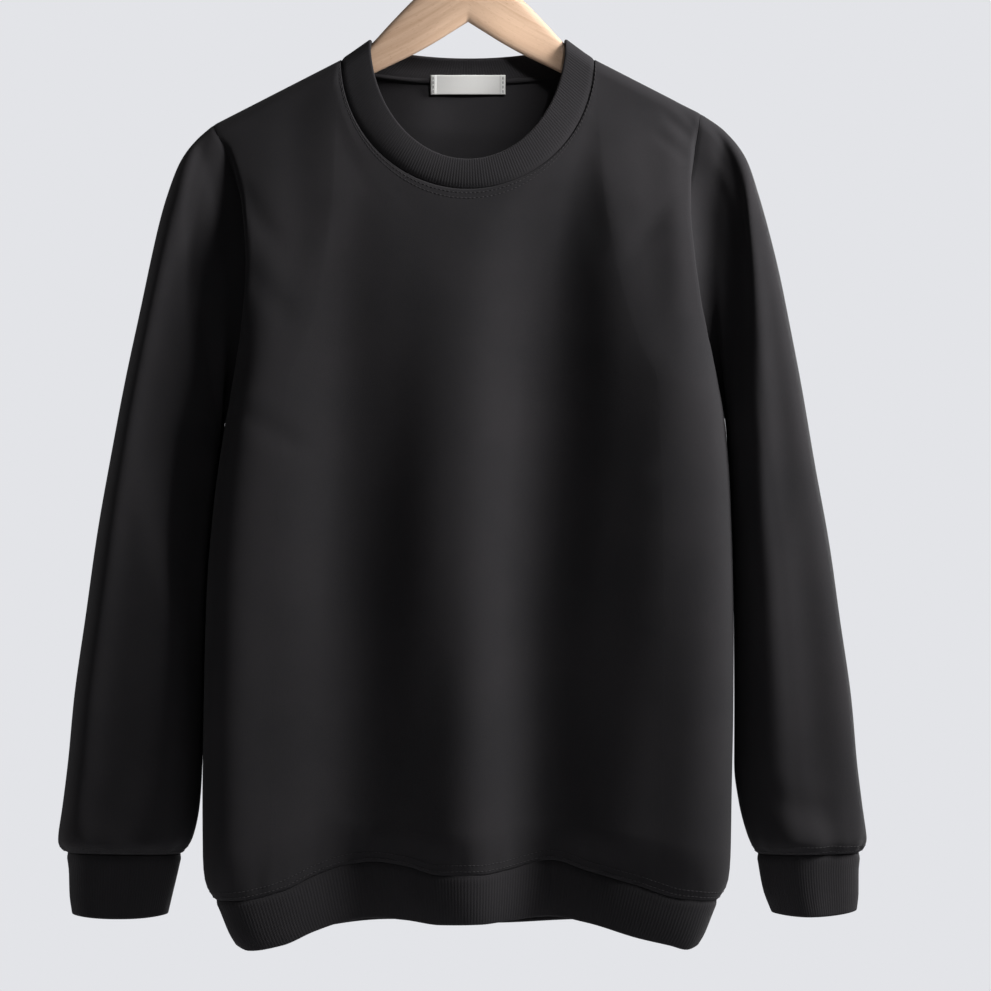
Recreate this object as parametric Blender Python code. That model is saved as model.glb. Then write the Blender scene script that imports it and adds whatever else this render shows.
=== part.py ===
"""Crewneck sweatshirt hanging on a wooden hanger.

The garment is built from the pieces a maker cuts and sews: front, back, two
sleeves, two cuffs, hem band, neckband and a small neck label.  Each piece is a
thin closed wall.  All sizes are in millimetres and are scaled to metres when a
mesh is written.  X runs across the garment, the front faces -Y, and Z is up.
The origin is the inside of the hook's crown, where a rail carries the hanger.
"""

import math

import bpy
import numpy as np

MM = 0.001

# ---- Cloth ---------------------------------------------------------------
CLOTH_WALL = 2.0        # brushed fleece jersey
RIB_WALL = 3.0          # rib knit, folded double
SEAM_GAP = 0.36         # space left between two sewn pieces
EASING_PASSES = 4       # evening out of the wall's direction along the neck seam
SEAM_HOLD = [(1, 0.85), (2, 0.5)]    # rows that still follow the neck seam's direction, and share

# ---- Shoulders and neck --------------------------------------------------
NECK_HALF = 101.6       # half width of the neckline at its seam
NECK_TOP = -140.5       # height of the neckline's highest point
SHOULDER_SLOPE = 0.5117
SHOULDER_END = {-1: 203.0, 1: 186.0}    # left and right armhole seam, at the top
RIDGE_RADIUS = 11.0     # cloth turning over the hanger's arm
FRONT_DROP = 105.0      # depth of the front neckline
BACK_DROP = 15.0
BAND_HALF = 78.0        # half width of the neck opening, at the band's free edge
BAND_TOP = -124.0
BAND_FRONT_DROP = 97.0
BAND_BACK_DROP = 14.0
BAND_BULGE = 1.2
BAND_LEAN = {1: 0.93, -1: 0.3}          # share of the panel's spread at the free edge
NECK_SHARE = 0.58       # share of a panel's width that the neckline takes

# ---- Body ----------------------------------------------------------------
UNDERARM = 0.38         # share of the panel's height taken by the armhole
ARMHOLE_DEPTH = 0.99    # share of the body's depth at the armhole's top
ARMHOLE_FULLNESS = 2.2  # how far down the armhole stays deep
ARMHOLE_CLOSING = 0.6   # how suddenly it closes at the underarm
HEM_SIDE = -811.0       # height of the hem seam at the sides
ROUNDING = 3.2          # squareness of the body's cross-section
SHAPE_BLEND = 0.22      # share of the height over which the neckline shape fades

# Half widths of the body at each height.
BODY_WIDTHS = [
    # height  left   right
    (-183.7, 203.0, 186.0),
    (-192.4, 203.0, 184.5),
    (-214.0, 193.0, 182.0),
    (-255.0, 183.0, 181.5),
    (-300.0, 180.0, 185.0),
    (-338.0, 182.0, 190.0),
    (-392.0, 186.5, 198.0),
    (-437.0, 194.0, 205.5),
    (-493.0, 202.0, 209.5),
    (-573.0, 208.0, 211.5),
    (-653.0, 210.0, 211.5),
    (-733.0, 211.5, 210.0),
    (-778.0, 211.0, 209.0),
    (-797.0, 209.0, 207.0),
    (-811.0, 201.0, 199.0),
]

# How far each panel stands off the hanger's plane, beyond the ridge radius.
BODY_SPREAD = [
    # below ridge  front  back
    (0.0, 0.0, 0.0),
    (8.0, 0.8, 4.5),
    (15.0, 2.0, 9.0),
    (40.0, 7.0, 16.0),
    (105.0, 25.0, 26.0),
    (180.0, 37.0, 35.0),
    (280.0, 46.0, 42.0),
    (450.0, 52.0, 48.0),
    (680.0, 53.0, 50.0),
]

# The cloth turns in to the hem seam.
HEM_TUCK = 0.10
TUCK_FROM = 0.94

# Folds of the front: soft ridges (lift above 0) and troughs (below 0).
FRONT_FOLDS = [
    # x at top, x at hem, top height, width, lift at top, lift at hem
    (-150.0, -166.0, -300.0, 36.0, 2.0, 8.0),
    (-72.0, -90.0, -290.0, 34.0, -1.5, -9.0),
    (-10.0, -6.0, -270.0, 34.0, 2.0, 9.0),
    (70.0, 64.0, -215.0, 30.0, -4.0, -11.0),
    (132.0, 160.0, -250.0, 36.0, 3.0, 8.0),
]
BACK_FOLDS = [
    (-120.0, -140.0, -330.0, 38.0, 2.0, 8.0),
    (-50.0, -62.0, -300.0, 34.0, -2.0, -9.0),
    (24.0, 18.0, -280.0, 36.0, 1.5, 7.0),
    (92.0, 96.0, -290.0, 34.0, -2.0, -9.0),
    (150.0, 168.0, -330.0, 32.0, 1.0, 5.0),
]
FOLD_FADE = 160.0       # height over which a fold comes in

# Heights of the hem seam and of the hem's free edge, across the body.
FRONT_SEAM = [
    # x      height
    (-201.0, -811.0),
    (-178.0, -810.0),
    (-147.0, -803.0),
    (-121.0, -791.0),
    (-98.0, -783.0),
    (-74.0, -780.0),
    (-50.0, -783.0),
    (-22.0, -790.0),
    (10.0, -790.0),
    (34.0, -786.0),
    (66.0, -779.0),
    (94.0, -787.0),
    (134.0, -798.0),
    (167.0, -808.0),
    (199.0, -811.0),
]
FRONT_EDGE = [
    (-184.0, -847.0),
    (-174.0, -850.5),
    (-147.0, -846.0),
    (-121.0, -835.0),
    (-98.0, -828.0),
    (-74.0, -825.0),
    (-50.0, -826.5),
    (-22.0, -830.0),
    (10.0, -829.5),
    (34.0, -827.0),
    (66.0, -824.0),
    (94.0, -828.5),
    (134.0, -840.0),
    (160.0, -846.0),
    (174.0, -849.5),
    (182.0, -847.0),
]
BACK_SEAM = [
    (-201.0, -811.0),
    (-150.0, -804.0),
    (-62.0, -792.0),
    (18.0, -797.0),
    (96.0, -791.0),
    (160.0, -804.0),
    (199.0, -811.0),
]
BACK_EDGE = [
    (-184.0, -847.0),
    (-150.0, -843.0),
    (-62.0, -831.0),
    (18.0, -835.0),
    (96.0, -831.0),
    (150.0, -843.0),
    (182.0, -847.0),
]

# Hem band: width and depth against its seam, at each share of its height.
HEM_SHAPE = [
    # share  width  depth
    (0.0, 1.0, 1.0),
    (0.35, 0.975, 0.99),
    (0.75, 0.945, 0.95),
    (1.0, 0.918, 0.90),
]

# ---- Sleeves and cuffs ---------------------------------------------------
SLEEVE_SQUARENESS = 2.3
LEFT_SLEEVE = [
    # outer x, outer z, inner x, inner z, half depth
    (-203.0, -192.4, -191.5, -427.0, 35.0),
    (-217.0, -205.0, -196.0, -434.0, 45.0),
    (-228.0, -221.0, -198.0, -442.0, 52.0),
    (-240.0, -253.0, -200.5, -452.0, 58.0),
    (-253.0, -301.0, -202.5, -466.0, 63.0),
    (-267.0, -365.0, -205.5, -490.0, 66.0),
    (-280.0, -432.0, -208.5, -523.0, 67.0),
    (-293.0, -509.0, -212.0, -565.0, 65.0),
    (-304.0, -580.0, -213.5, -611.0, 61.0),
    (-314.0, -652.0, -214.5, -660.0, 56.0),
    (-319.0, -701.0, -215.0, -703.0, 51.0),
    (-323.0, -737.0, -217.0, -737.0, 47.0),
    (-326.5, -765.0, -221.0, -765.0, 42.0),
    (-321.0, -775.0, -229.0, -776.0, 31.0),
]
RIGHT_SLEEVE = [
    (186.0, -183.7, 203.5, -421.7, 35.0),
    (206.0, -198.5, 207.5, -431.0, 45.0),
    (221.0, -218.0, 210.0, -440.0, 52.0),
    (233.0, -252.0, 211.5, -450.0, 58.0),
    (246.0, -302.0, 213.0, -465.0, 63.0),
    (259.0, -365.0, 214.0, -489.0, 66.0),
    (271.0, -432.0, 215.5, -522.0, 67.0),
    (285.0, -509.0, 216.0, -564.0, 65.0),
    (296.0, -580.0, 216.0, -610.0, 61.0),
    (306.0, -653.0, 215.5, -659.0, 56.0),
    (311.0, -701.0, 214.5, -703.0, 51.0),
    (315.0, -733.0, 217.0, -734.0, 47.0),
    (318.5, -762.0, 225.0, -765.0, 42.0),
    (313.5, -775.0, 231.0, -776.0, 31.0),
]
LEFT_CUFF = [
    (-321.0, -775.0, -229.0, -776.0, 31.0),
    (-319.0, -790.0, -232.0, -790.0, 29.0),
    (-318.5, -808.0, -236.0, -807.0, 26.5),
    (-316.5, -824.0, -240.0, -824.0, 24.0),
]
RIGHT_CUFF = [
    (313.5, -775.0, 231.0, -776.0, 31.0),
    (312.0, -790.0, 233.0, -790.0, 29.0),
    (312.0, -806.0, 236.0, -805.0, 26.5),
    (310.5, -821.0, 243.0, -823.0, 24.0),
]
CAP_END = 2.5           # table row where the sleeve has left the armhole's shape
FOLDS_START = (2.0, 5.0)      # table rows over which the sleeve's folds come in
FOLDS_END = (11.0, 13.0)      # and go out, above the cuff
UNDERARM_TURN = 0.3     # the underarm seam's thickness points down, a little outwards
CUFF_SAG = 3.0          # the cuff's edge hangs lower at the front and the back

# Long folds of both sleeves: place around the ring, width, lift.
SLEEVE_FOLDS = [
    (0.30, 0.055, 4.0),
    (0.20, 0.045, -2.5),
    (0.10, 0.05, 2.0),
    (0.62, 0.05, -2.5),
    (0.72, 0.06, 4.0),
    (0.86, 0.05, -2.0),
]

# ---- Grids ---------------------------------------------------------------
ARMHOLE_ROWS = [
    0.0, 0.0012, 0.006, 0.018, 0.045, 0.08, 0.12, 0.16, 0.20, 0.24, 0.28, 0.315, 0.35, UNDERARM,
]
NECK_ROWS = [
    0.0, 0.02, 0.04, 0.06, 0.085, 0.11, 0.14, 0.175, 0.21, 0.25, 0.285, 0.32, 0.35, UNDERARM,
]
BODY_ROWS = [0.425, 0.48, 0.54, 0.60, 0.66, 0.72, 0.78, 0.84, 0.90, 0.945, 0.98, 1.0]
SHOULDER_COLUMNS = 6
HALF_NECK = [0.0, 0.1, 0.2, 0.3, 0.4, 0.5, 0.6, 0.7, 0.79, 0.87, 0.93, 0.97, 0.99, 1.0]
NECK_COLUMNS = 2 * (len(HALF_NECK) - 1)
BAND_ROWS = [0.0, 0.33, 0.67, 1.0]
HEM_ROWS = [0.0, 0.35, 0.75, 1.0]
SLEEVE_STEPS = [0, 0.5, 1, 2, 3, 4, 5, 6, 7, 8, 9, 10, 11, 11.6, 12, 12.5, 13]
ELBOW = 6               # table row where the sleeve's upper and lower parts meet
CUFF_STEPS = [0, 1, 2, 3]

# ---- Label ---------------------------------------------------------------
LABEL_WIDTH = 60.0
LABEL_TOP = -152.0
LABEL_BOTTOM = -167.2
LABEL_WALL = 0.6
LABEL_CLEARANCE = 0.4
LABEL_COLUMNS = 9
LABEL_ROWS = 5

# ---- Hanger --------------------------------------------------------------
ARM_HALF_THICKNESS = 5.5
ARM_SQUARENESS = 2.4
ARM_SIDES = 14
HANGER_PROFILE = [
    # x      top     bottom
    (0.0, -65.0, -110.4),
    (12.0, -67.5, -117.9),
    (26.0, -77.0, -126.6),
    (44.0, -93.0, -136.6),
    (62.0, -111.5, -145.3),
    (78.0, -128.6, -153.0),
    (90.0, -138.1, -158.5),
    (101.6, -145.6, -163.5),
    (112.0, -148.9, -168.5),
    (140.0, -162.9, -181.0),
    (170.0, -178.3, -194.5),
    (180.0, -183.8, -198.0),
    (186.0, -188.2, -198.6),
    (189.5, -192.3, -196.4),
]
HOOK_RADIUS = 22.0      # centre line of the loop
WIRE_RADIUS = 2.0
WIRE_BEND = 10.0        # bend between the stem and the loop
HOOK_END_ANGLE = 208.0  # the open end, counted from +X towards the crown
STEM_DEPTH = 18.0       # seated length in the wood
HOLE_CLEARANCE = 0.3
HOLE_SIDES = 24
BEND_STEPS = 5
LOOP_STEPS = 30
WIRE_BEVEL = 2

# ---- Colours -------------------------------------------------------------
CHARCOAL = (0.022, 0.021, 0.023)
RIB_CHARCOAL = (0.018, 0.017, 0.019)
LABEL_WHITE = (0.72, 0.72, 0.70)
BEECH = (0.66, 0.44, 0.26)
STEEL = (0.62, 0.62, 0.63)


# ---- Curve helpers -------------------------------------------------------
def curve_through(x_points, y_points, x):
    """Smooth curve through table points that never overshoots between them."""
    x_points = np.asarray(x_points, float)
    y_points = np.asarray(y_points, float)
    step = np.diff(x_points)
    slope = np.diff(y_points) / step
    tangent = np.zeros_like(y_points)
    same = slope[:-1] * slope[1:] > 0
    total = np.where(same, slope[:-1] + slope[1:], 1.0)
    tangent[1:-1] = np.where(same, 2.0 * slope[:-1] * slope[1:] / total, 0.0)
    tangent[0] = slope[0]
    tangent[-1] = slope[-1]
    x = np.clip(x, x_points[0], x_points[-1])
    cell = np.clip(np.searchsorted(x_points, x) - 1, 0, len(step) - 1)
    s = (x - x_points[cell]) / step[cell]
    start = (1 + 2 * s) * (1 - s) ** 2 * y_points[cell]
    end = s ** 2 * (3 - 2 * s) * y_points[cell + 1]
    bend = s * (1 - s) ** 2 * tangent[cell] - s ** 2 * (1 - s) * tangent[cell + 1]
    return start + end + bend * step[cell]


def look_up(table, column, x, descending=False):
    """Read one named column of a table at x, whose first column is the place."""
    rows = np.asarray(table, float)
    if descending:
        rows = rows[::-1]
    return curve_through(rows[:, 0], rows[:, column], x)


def smooth_step(low, high, x):
    """0 below low, 1 above high, and a soft S between them."""
    s = np.clip((x - low) / (high - low), 0.0, 1.0)
    return s * s * (3.0 - 2.0 * s)


def power(value, exponent):
    """Signed power, which draws the superellipses used for every section."""
    return np.sign(value) * np.abs(value) ** exponent


def unit(vectors):
    return vectors / np.linalg.norm(vectors, axis=-1, keepdims=True)


def over_ridge(drop):
    """Half depth of cloth that has turned over the hanger's arm and dropped so far."""
    inside = np.clip(RIDGE_RADIUS - drop, 0.0, RIDGE_RADIUS)
    return np.sqrt(RIDGE_RADIUS ** 2 - inside ** 2)


# ---- Body surface --------------------------------------------------------
def shoulder_end(u):
    return np.where(u < 0, SHOULDER_END[-1], SHOULDER_END[1])


def shoulder_height(x):
    return NECK_TOP - SHOULDER_SLOPE * (np.abs(x) - NECK_HALF)


def half_depth(drop, side, share=1.0):
    """Distance from the hanger's plane to a panel that has dropped so far."""
    column = 1 if side > 0 else 2
    return over_ridge(drop) + share * look_up(BODY_SPREAD, column, drop)


def fold_lift(folds, x, z):
    """Sum of the soft ridges and troughs of one panel at each place."""
    total = np.zeros(np.broadcast(x, z).shape)
    for x_top, x_hem, top, width, lift_top, lift_hem in folds:
        fall = np.clip((top - z) / (top - HEM_SIDE), 0.0, 1.0)
        centre = x_top + (x_hem - x_top) * fall
        lift = lift_top + (lift_hem - lift_top) * fall
        shown = smooth_step(0.0, FOLD_FADE, top - z)
        total = total + lift * shown * np.exp(-((x - centre) / width) ** 2)
    return total


def section_shape(u, edge):
    """Across and depth factors of the body's section, cut off where the armhole is.

    edge is the depth factor that is left at u = 1: near 1 at the shoulder, 0 below
    the underarm, where front and back meet at the side seam.
    """
    limit = np.arccos(np.clip(edge, 0.0, 0.995) ** (ROUNDING / 2.0))
    angle = limit * np.abs(u) ** (ROUNDING / 2.0)
    across = (np.sin(angle) / np.sin(limit)) ** (2.0 / ROUNDING)
    depth = np.clip(np.cos(angle), 0.0, 1.0) ** (2.0 / ROUNDING)
    return np.sign(u) * across, depth


def armhole_edge(v):
    """Depth factor left at the armhole's edge, from its top down to the underarm."""
    share = np.clip(v / UNDERARM, 0.0, 1.0)
    return ARMHOLE_DEPTH * (1.0 - share ** ARMHOLE_FULLNESS) ** ARMHOLE_CLOSING


def top_line(u, side):
    """X and Z of a panel's top edge: shoulder, neckline, shoulder."""
    drop = FRONT_DROP if side > 0 else BACK_DROP
    turn = np.pi / 2 * np.clip(u / NECK_SHARE, -1.0, 1.0)
    neck_x = NECK_HALF * np.sin(turn)
    neck_z = NECK_TOP - drop * np.cos(turn)
    end = shoulder_end(u)
    along = np.clip((np.abs(u) - NECK_SHARE) / (1.0 - NECK_SHARE), 0.0, 1.0)
    shoulder_x = np.sign(u) * (NECK_HALF + (end - NECK_HALF) * along)
    x = np.where(np.abs(u) <= NECK_SHARE, neck_x, shoulder_x)
    z = np.where(np.abs(u) <= NECK_SHARE, neck_z, shoulder_height(x))
    ridge = np.where(np.abs(u) <= NECK_SHARE, NECK_TOP, z)
    return x, z, ridge


def body_width(z, u):
    left = look_up(BODY_WIDTHS, 1, z, descending=True)
    right = look_up(BODY_WIDTHS, 2, z, descending=True)
    return np.where(u < 0, left, right)


def panel_surface(u, v, side):
    """Points of the front (side = 1) or the back (side = -1), u across, v down."""
    u, v = np.broadcast_arrays(np.asarray(u, float), np.asarray(v, float))
    top_x, top_z, ridge = top_line(u, side)
    end = shoulder_end(u)
    end_z = shoulder_height(end)
    side_z = end_z + (HEM_SIDE - end_z) * v
    width = body_width(side_z, u)
    across, depth = section_shape(u, armhole_edge(v))
    hem_across, _ = section_shape(u, np.zeros_like(v))
    hem_x = body_width(np.full_like(u, HEM_SIDE), u) * hem_across
    hem_z = look_up(FRONT_SEAM if side > 0 else BACK_SEAM, 1, hem_x)
    blend = 1.0 - (1.0 - np.clip(v / SHAPE_BLEND, 0.0, 1.0)) ** 2
    outside = np.clip((np.abs(u) - NECK_SHARE) / (1.0 - NECK_SHARE), 0.0, 1.0)
    top_x = top_x * (1.0 + (width / end - 1.0) * outside)
    x = (1.0 - blend) * top_x + blend * width * across
    z = top_z + (hem_z - top_z) * v
    reach = half_depth(ridge - z, side)
    lift = fold_lift(FRONT_FOLDS if side > 0 else BACK_FOLDS, x, z) * depth
    tuck = 1.0 - HEM_TUCK * smooth_step(TUCK_FROM, 1.0, v)
    y = reach * tuck * ((1.0 - blend) + blend * depth) + lift * blend
    return np.stack([x, -side * y, z], axis=-1)


def hem_surface(u, r, side):
    """Points of the hem band's front or back half, r from its seam to its free edge."""
    u, r = np.broadcast_arrays(np.asarray(u, float), np.asarray(r, float))
    seam = panel_surface(u, np.ones_like(u), side)
    x = seam[..., 0] * look_up(HEM_SHAPE, 1, r)
    y = seam[..., 1] * look_up(HEM_SHAPE, 2, r)
    edge_x = seam[..., 0] * HEM_SHAPE[-1][1]
    edge_z = look_up(FRONT_EDGE if side > 0 else BACK_EDGE, 1, edge_x)
    z = seam[..., 2] + (edge_z - seam[..., 2]) * r
    return np.stack([x, y, z], axis=-1)


def band_surface(turn, r, side):
    """Points of the neckband's front or back half, r from its seam to its free edge."""
    turn, r = np.broadcast_arrays(np.asarray(turn, float), np.asarray(r, float))
    seam_drop = (FRONT_DROP if side > 0 else BACK_DROP) * np.cos(turn)
    seam = np.stack([
        NECK_HALF * np.sin(turn),
        -side * half_depth(seam_drop, side),
        NECK_TOP - seam_drop,
    ], axis=-1)
    edge_drop = (BAND_FRONT_DROP if side > 0 else BAND_BACK_DROP) * np.cos(turn)
    edge = np.stack([
        BAND_HALF * np.sin(turn),
        -side * half_depth(edge_drop, side, BAND_LEAN[side]),
        BAND_TOP - edge_drop,
    ], axis=-1)
    points = seam + (edge - seam) * r[..., None]
    points[..., 1] -= side * BAND_BULGE * np.sin(np.pi * r) * np.cos(turn)
    return points


# ---- Sleeve surface ------------------------------------------------------
def armhole_loop(place, hand):
    """Points of one armhole seam; place runs 0 to 1 from the top, front side first."""
    place = np.mod(place, 1.0)
    fraction = 1.0 - np.abs(1.0 - 2.0 * place)
    steps = np.linspace(0.0, 1.0, len(ARMHOLE_ROWS))
    v = np.interp(fraction, steps, ARMHOLE_ROWS)
    u = np.full_like(v, float(hand))
    front = panel_surface(u, v, 1)
    back = panel_surface(u, v, -1)
    return np.where((place <= 0.5)[..., None], front, back)


def ring_points(table, t, place, squareness=SLEEVE_SQUARENESS):
    """Oval rings of a sleeve table at row t, with place running round from outside."""
    rows = np.asarray(table, float)
    index = np.arange(len(rows))
    outer_x, outer_z, inner_x, inner_z, depth = [
        curve_through(index, rows[:, column], t) for column in range(5)
    ]
    angle = 2.0 * np.pi * place
    along = power(np.cos(angle), 2.0 / squareness)
    forward = power(np.sin(angle), 2.0 / squareness)
    x = (outer_x + inner_x) / 2 + (outer_x - inner_x) / 2 * along
    z = (outer_z + inner_z) / 2 + (outer_z - inner_z) / 2 * along
    return np.stack([x, -depth * forward, z], axis=-1)


def sleeve_surface(t, place, hand):
    """Points of one sleeve, t down its table from the armhole, place round it."""
    t, place = np.broadcast_arrays(np.asarray(t, float), np.asarray(place, float))
    table = LEFT_SLEEVE if hand < 0 else RIGHT_SLEEVE
    points = ring_points(table, t, place)
    loop = armhole_loop(place, hand)
    start = ring_points(table, np.zeros_like(t), place)
    fade = 1.0 - smooth_step(0.0, CAP_END, t)
    points = points + (loop - start) * fade[..., None]
    shown = smooth_step(*FOLDS_START, t) * (1.0 - smooth_step(*FOLDS_END, t))
    lift = np.zeros_like(t)
    for centre, width, height in SLEEVE_FOLDS:
        lift = lift + height * np.exp(-((place - centre) / width) ** 2)
    forward = np.where(np.mod(place, 1.0) < 0.5, -1.0, 1.0)
    points[..., 1] += forward * lift * shown
    return points


def cuff_surface(t, place, hand):
    """Points of one cuff, t down its table from its seam, place round it."""
    t, place = np.broadcast_arrays(np.asarray(t, float), np.asarray(place, float))
    table = LEFT_CUFF if hand < 0 else RIGHT_CUFF
    points = ring_points(table, t, place)
    sag = CUFF_SAG * (t / (len(table) - 1)) * np.sin(2.0 * np.pi * place) ** 2
    points[..., 2] -= sag
    return points


# ---- Walls ---------------------------------------------------------------
def grid_normals(points, outward, closed=False):
    """Unit normals of a grid of points, turned to the side that outward names."""
    if closed:
        across = np.roll(points, -1, axis=1) - np.roll(points, 1, axis=1)
    else:
        across = np.gradient(points, axis=1)
    down = np.gradient(points, axis=0)
    normals = unit(np.cross(across, down))
    facing = np.sum(normals * outward, axis=-1)
    sign = 1.0 if np.sum(facing) > 0 else -1.0
    return normals * sign


def set_in(points, edge, neighbour, along):
    """Shift from a seam into its own piece, square to the seam."""
    inward = neighbour - edge
    along = unit(along)
    inward = inward - np.sum(inward * along, axis=-1, keepdims=True) * along
    return unit(inward) * (SEAM_GAP / 2)


def seam_shift(points, rows=(), columns=(), closed=False):
    """Shifts of a grid's points that open half a seam gap along the named edges."""
    shift = np.zeros_like(points)
    for row in rows:
        inner = 1 if row == 0 else -2
        if closed:
            along = np.roll(points[row], -1, axis=0) - np.roll(points[row], 1, axis=0)
        else:
            along = np.gradient(points[row], axis=0)
        shift[row] += set_in(points, points[row], points[inner], along)
    for column in columns:
        inner = 1 if column == 0 else -2
        along = np.gradient(points[:, column], axis=0)
        shift[:, column] += set_in(points, points[:, column], points[:, inner], along)
    return shift


def rim_faces(first, second, count, height):
    """Two triangles between an outer edge and its inner edge.

    The diagonal always leaves the edge's upper end on the outside, so the rims of two
    sewn pieces are cut the same way and stay parallel.
    """
    if height[first] < height[second]:
        return [
            (first, second, first + count),
            (second, second + count, first + count),
        ]
    return [
        (first, second, second + count),
        (first, second + count, first + count),
    ]


def make_wall(name, outer, inner, material, closed=False):
    """A closed thin body between two grids of points, with rims round its edges."""
    rows, columns = outer.shape[:2]
    count = rows * columns
    points = np.concatenate([outer.reshape(-1, 3), inner.reshape(-1, 3)]) * MM
    cells = columns if closed else columns - 1
    number = np.arange(count).reshape(rows, columns)
    number = np.concatenate([number, number[:, :1]], axis=1)
    faces = []
    for row in range(rows - 1):
        for column in range(cells):
            quad = (
                int(number[row, column]),
                int(number[row, column + 1]),
                int(number[row + 1, column + 1]),
                int(number[row + 1, column]),
            )
            faces.append(quad)
            faces.append(tuple(index + count for index in reversed(quad)))
    edges = [(number[0, column + 1], number[0, column]) for column in range(cells)]
    edges += [(number[-1, column], number[-1, column + 1]) for column in range(cells)]
    if not closed:
        edges += [(number[row, 0], number[row + 1, 0]) for row in range(rows - 1)]
        edges += [(number[row + 1, -2], number[row, -2]) for row in range(rows - 1)]
    for first, second in edges:
        faces += rim_faces(int(first), int(second), count, points[:, 2])
    return make_object(name, points, faces, material)


def make_object(name, points, faces, material):
    """A mesh object whose faces are turned outward by the sign of its volume."""
    mesh = bpy.data.meshes.new(name)
    mesh.from_pydata([tuple(point) for point in points], [], faces)
    volume = 0.0
    for face in faces:
        for second, third in zip(face[1:-1], face[2:]):
            volume += np.dot(points[face[0]], np.cross(points[second], points[third]))
    if volume < 0.0:
        mesh.flip_normals()
    mesh.validate()
    mesh.materials.append(material)
    mesh.shade_smooth()
    mesh.set_sharp_from_angle(angle=math.radians(50.0))
    made = bpy.data.objects.new(name, mesh)
    bpy.context.scene.collection.objects.link(made)
    return made


def make_material(name, colour, roughness, metallic=0.0):
    material = bpy.data.materials.new(name)
    material.use_nodes = True
    shader = material.node_tree.nodes["Principled BSDF"]
    shader.inputs["Base Color"].default_value = (*colour, 1.0)
    shader.inputs["Roughness"].default_value = roughness
    shader.inputs["Metallic"].default_value = metallic
    return material


# ---- Seam normals --------------------------------------------------------
def shoulder_normal(hand):
    return unit(np.array([hand * SHOULDER_SLOPE, 0.0, 1.0]))


def eased(directions):
    """Directions along a seam with their turns evened out, ends kept."""
    for _ in range(EASING_PASSES):
        between = directions[:-2] + 2.0 * directions[1:-1] + directions[2:]
        directions = np.concatenate([directions[:1], unit(between), directions[-1:]])
    return directions


def neck_places():
    """Column places across the neckline, -1 to 1, close together over the arms."""
    half = np.array(HALF_NECK)
    return np.concatenate([-half[:0:-1], half])


def panel_columns():
    neck = NECK_SHARE * neck_places()
    left = np.linspace(-1.0, -NECK_SHARE, SHOULDER_COLUMNS + 1)[:-1]
    right = -left[::-1]
    return np.concatenate([left, neck, right])


def panel_rows(u):
    """Row places down each column: close over the hanger's arms, even at the neck."""
    neck = 1.0 - smooth_step(0.8 * NECK_SHARE, NECK_SHARE, np.abs(u))[None, :]
    shoulder_rows = np.array(ARMHOLE_ROWS + BODY_ROWS)[:, None]
    neck_rows = np.array(NECK_ROWS + BODY_ROWS)[:, None]
    return shoulder_rows + (neck_rows - shoulder_rows) * neck


def raw_panel(side):
    """Outer points of the front or the back, and their own normals."""
    u = panel_columns()
    points = panel_surface(u[None, :], panel_rows(u), side)
    return points, grid_normals(points, np.array([0.0, -side, 0.0]))


def raw_sleeve(hand):
    """Outer points of a sleeve, and their own normals."""
    steps = 2 * (len(ARMHOLE_ROWS) - 1)
    place = np.arange(steps) / steps
    points = sleeve_surface(np.array(SLEEVE_STEPS, float)[:, None], place[None, :], hand)
    centre = points.mean(axis=1, keepdims=True)
    return points, grid_normals(points, points - centre, closed=True)


def ring_half(ring, side):
    """The front or back half of a ring, from its top down to the underarm."""
    steps = len(ARMHOLE_ROWS) - 1
    if side > 0:
        return ring[:steps + 1]
    return np.concatenate([ring[:1], ring[:steps - 1:-1]])


def armhole_directions(hand, side):
    """Thickness directions along an armhole seam, shared by body and sleeve."""
    column = 0 if hand < 0 else -1
    body = raw_panel(side)[1][:len(ARMHOLE_ROWS), column]
    sleeve = ring_half(raw_sleeve(hand)[1][0], side)
    mixed = unit(body + sleeve)
    mixed[0] = shoulder_normal(hand)
    mixed[-1] = unit(np.array([hand * UNDERARM_TURN, 0.0, -1.0]))
    return mixed


def panel_grids(side):
    """Points and thickness directions of one panel, its neckband half and hem half."""
    points, normals = raw_panel(side)
    u = panel_columns()
    turn = np.pi / 2 * neck_places()
    band = band_surface(turn[None, :], np.array(BAND_ROWS)[:, None], side)
    band_normals = grid_normals(band, np.array([0.0, -side, 0.3]))
    hem = hem_surface(u[None, :], np.array(HEM_ROWS)[:, None], side)
    hem_normals = grid_normals(hem, np.array([0.0, -side, 0.0]))
    first = SHOULDER_COLUMNS
    last = first + NECK_COLUMNS + 1
    normals[0, first:last] = unit(normals[0, first:last] + band_normals[0])
    normals[0, :first + 1] = shoulder_normal(-1)
    normals[0, last - 1:] = shoulder_normal(1)
    normals[0, first:last] = eased(normals[0, first:last])
    for row, share in SEAM_HOLD:
        inside = slice(first + 1, last - 1)
        own = (1.0 - share) * normals[row, inside]
        normals[row, inside] = unit(own + share * normals[0, inside])
    under = len(ARMHOLE_ROWS) - 1
    for column, hand in ((0, -1), (-1, 1)):
        normals[under:, column, 1] = 0.0
        normals[:under + 1, column] = armhole_directions(hand, side)
        hem_normals[:, column, 1] = 0.0
    normals = unit(normals)
    hem_normals = unit(hem_normals)
    hem_seam = unit(normals[-1] + hem_normals[0])
    normals[-1] = hem_seam
    hem_normals[0] = hem_seam
    band_normals[0] = normals[0, first:last]
    band_normals[:, 0] = shoulder_normal(-1)
    band_normals[:, -1] = shoulder_normal(1)
    return points, normals, band, band_normals, hem, hem_normals


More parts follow.
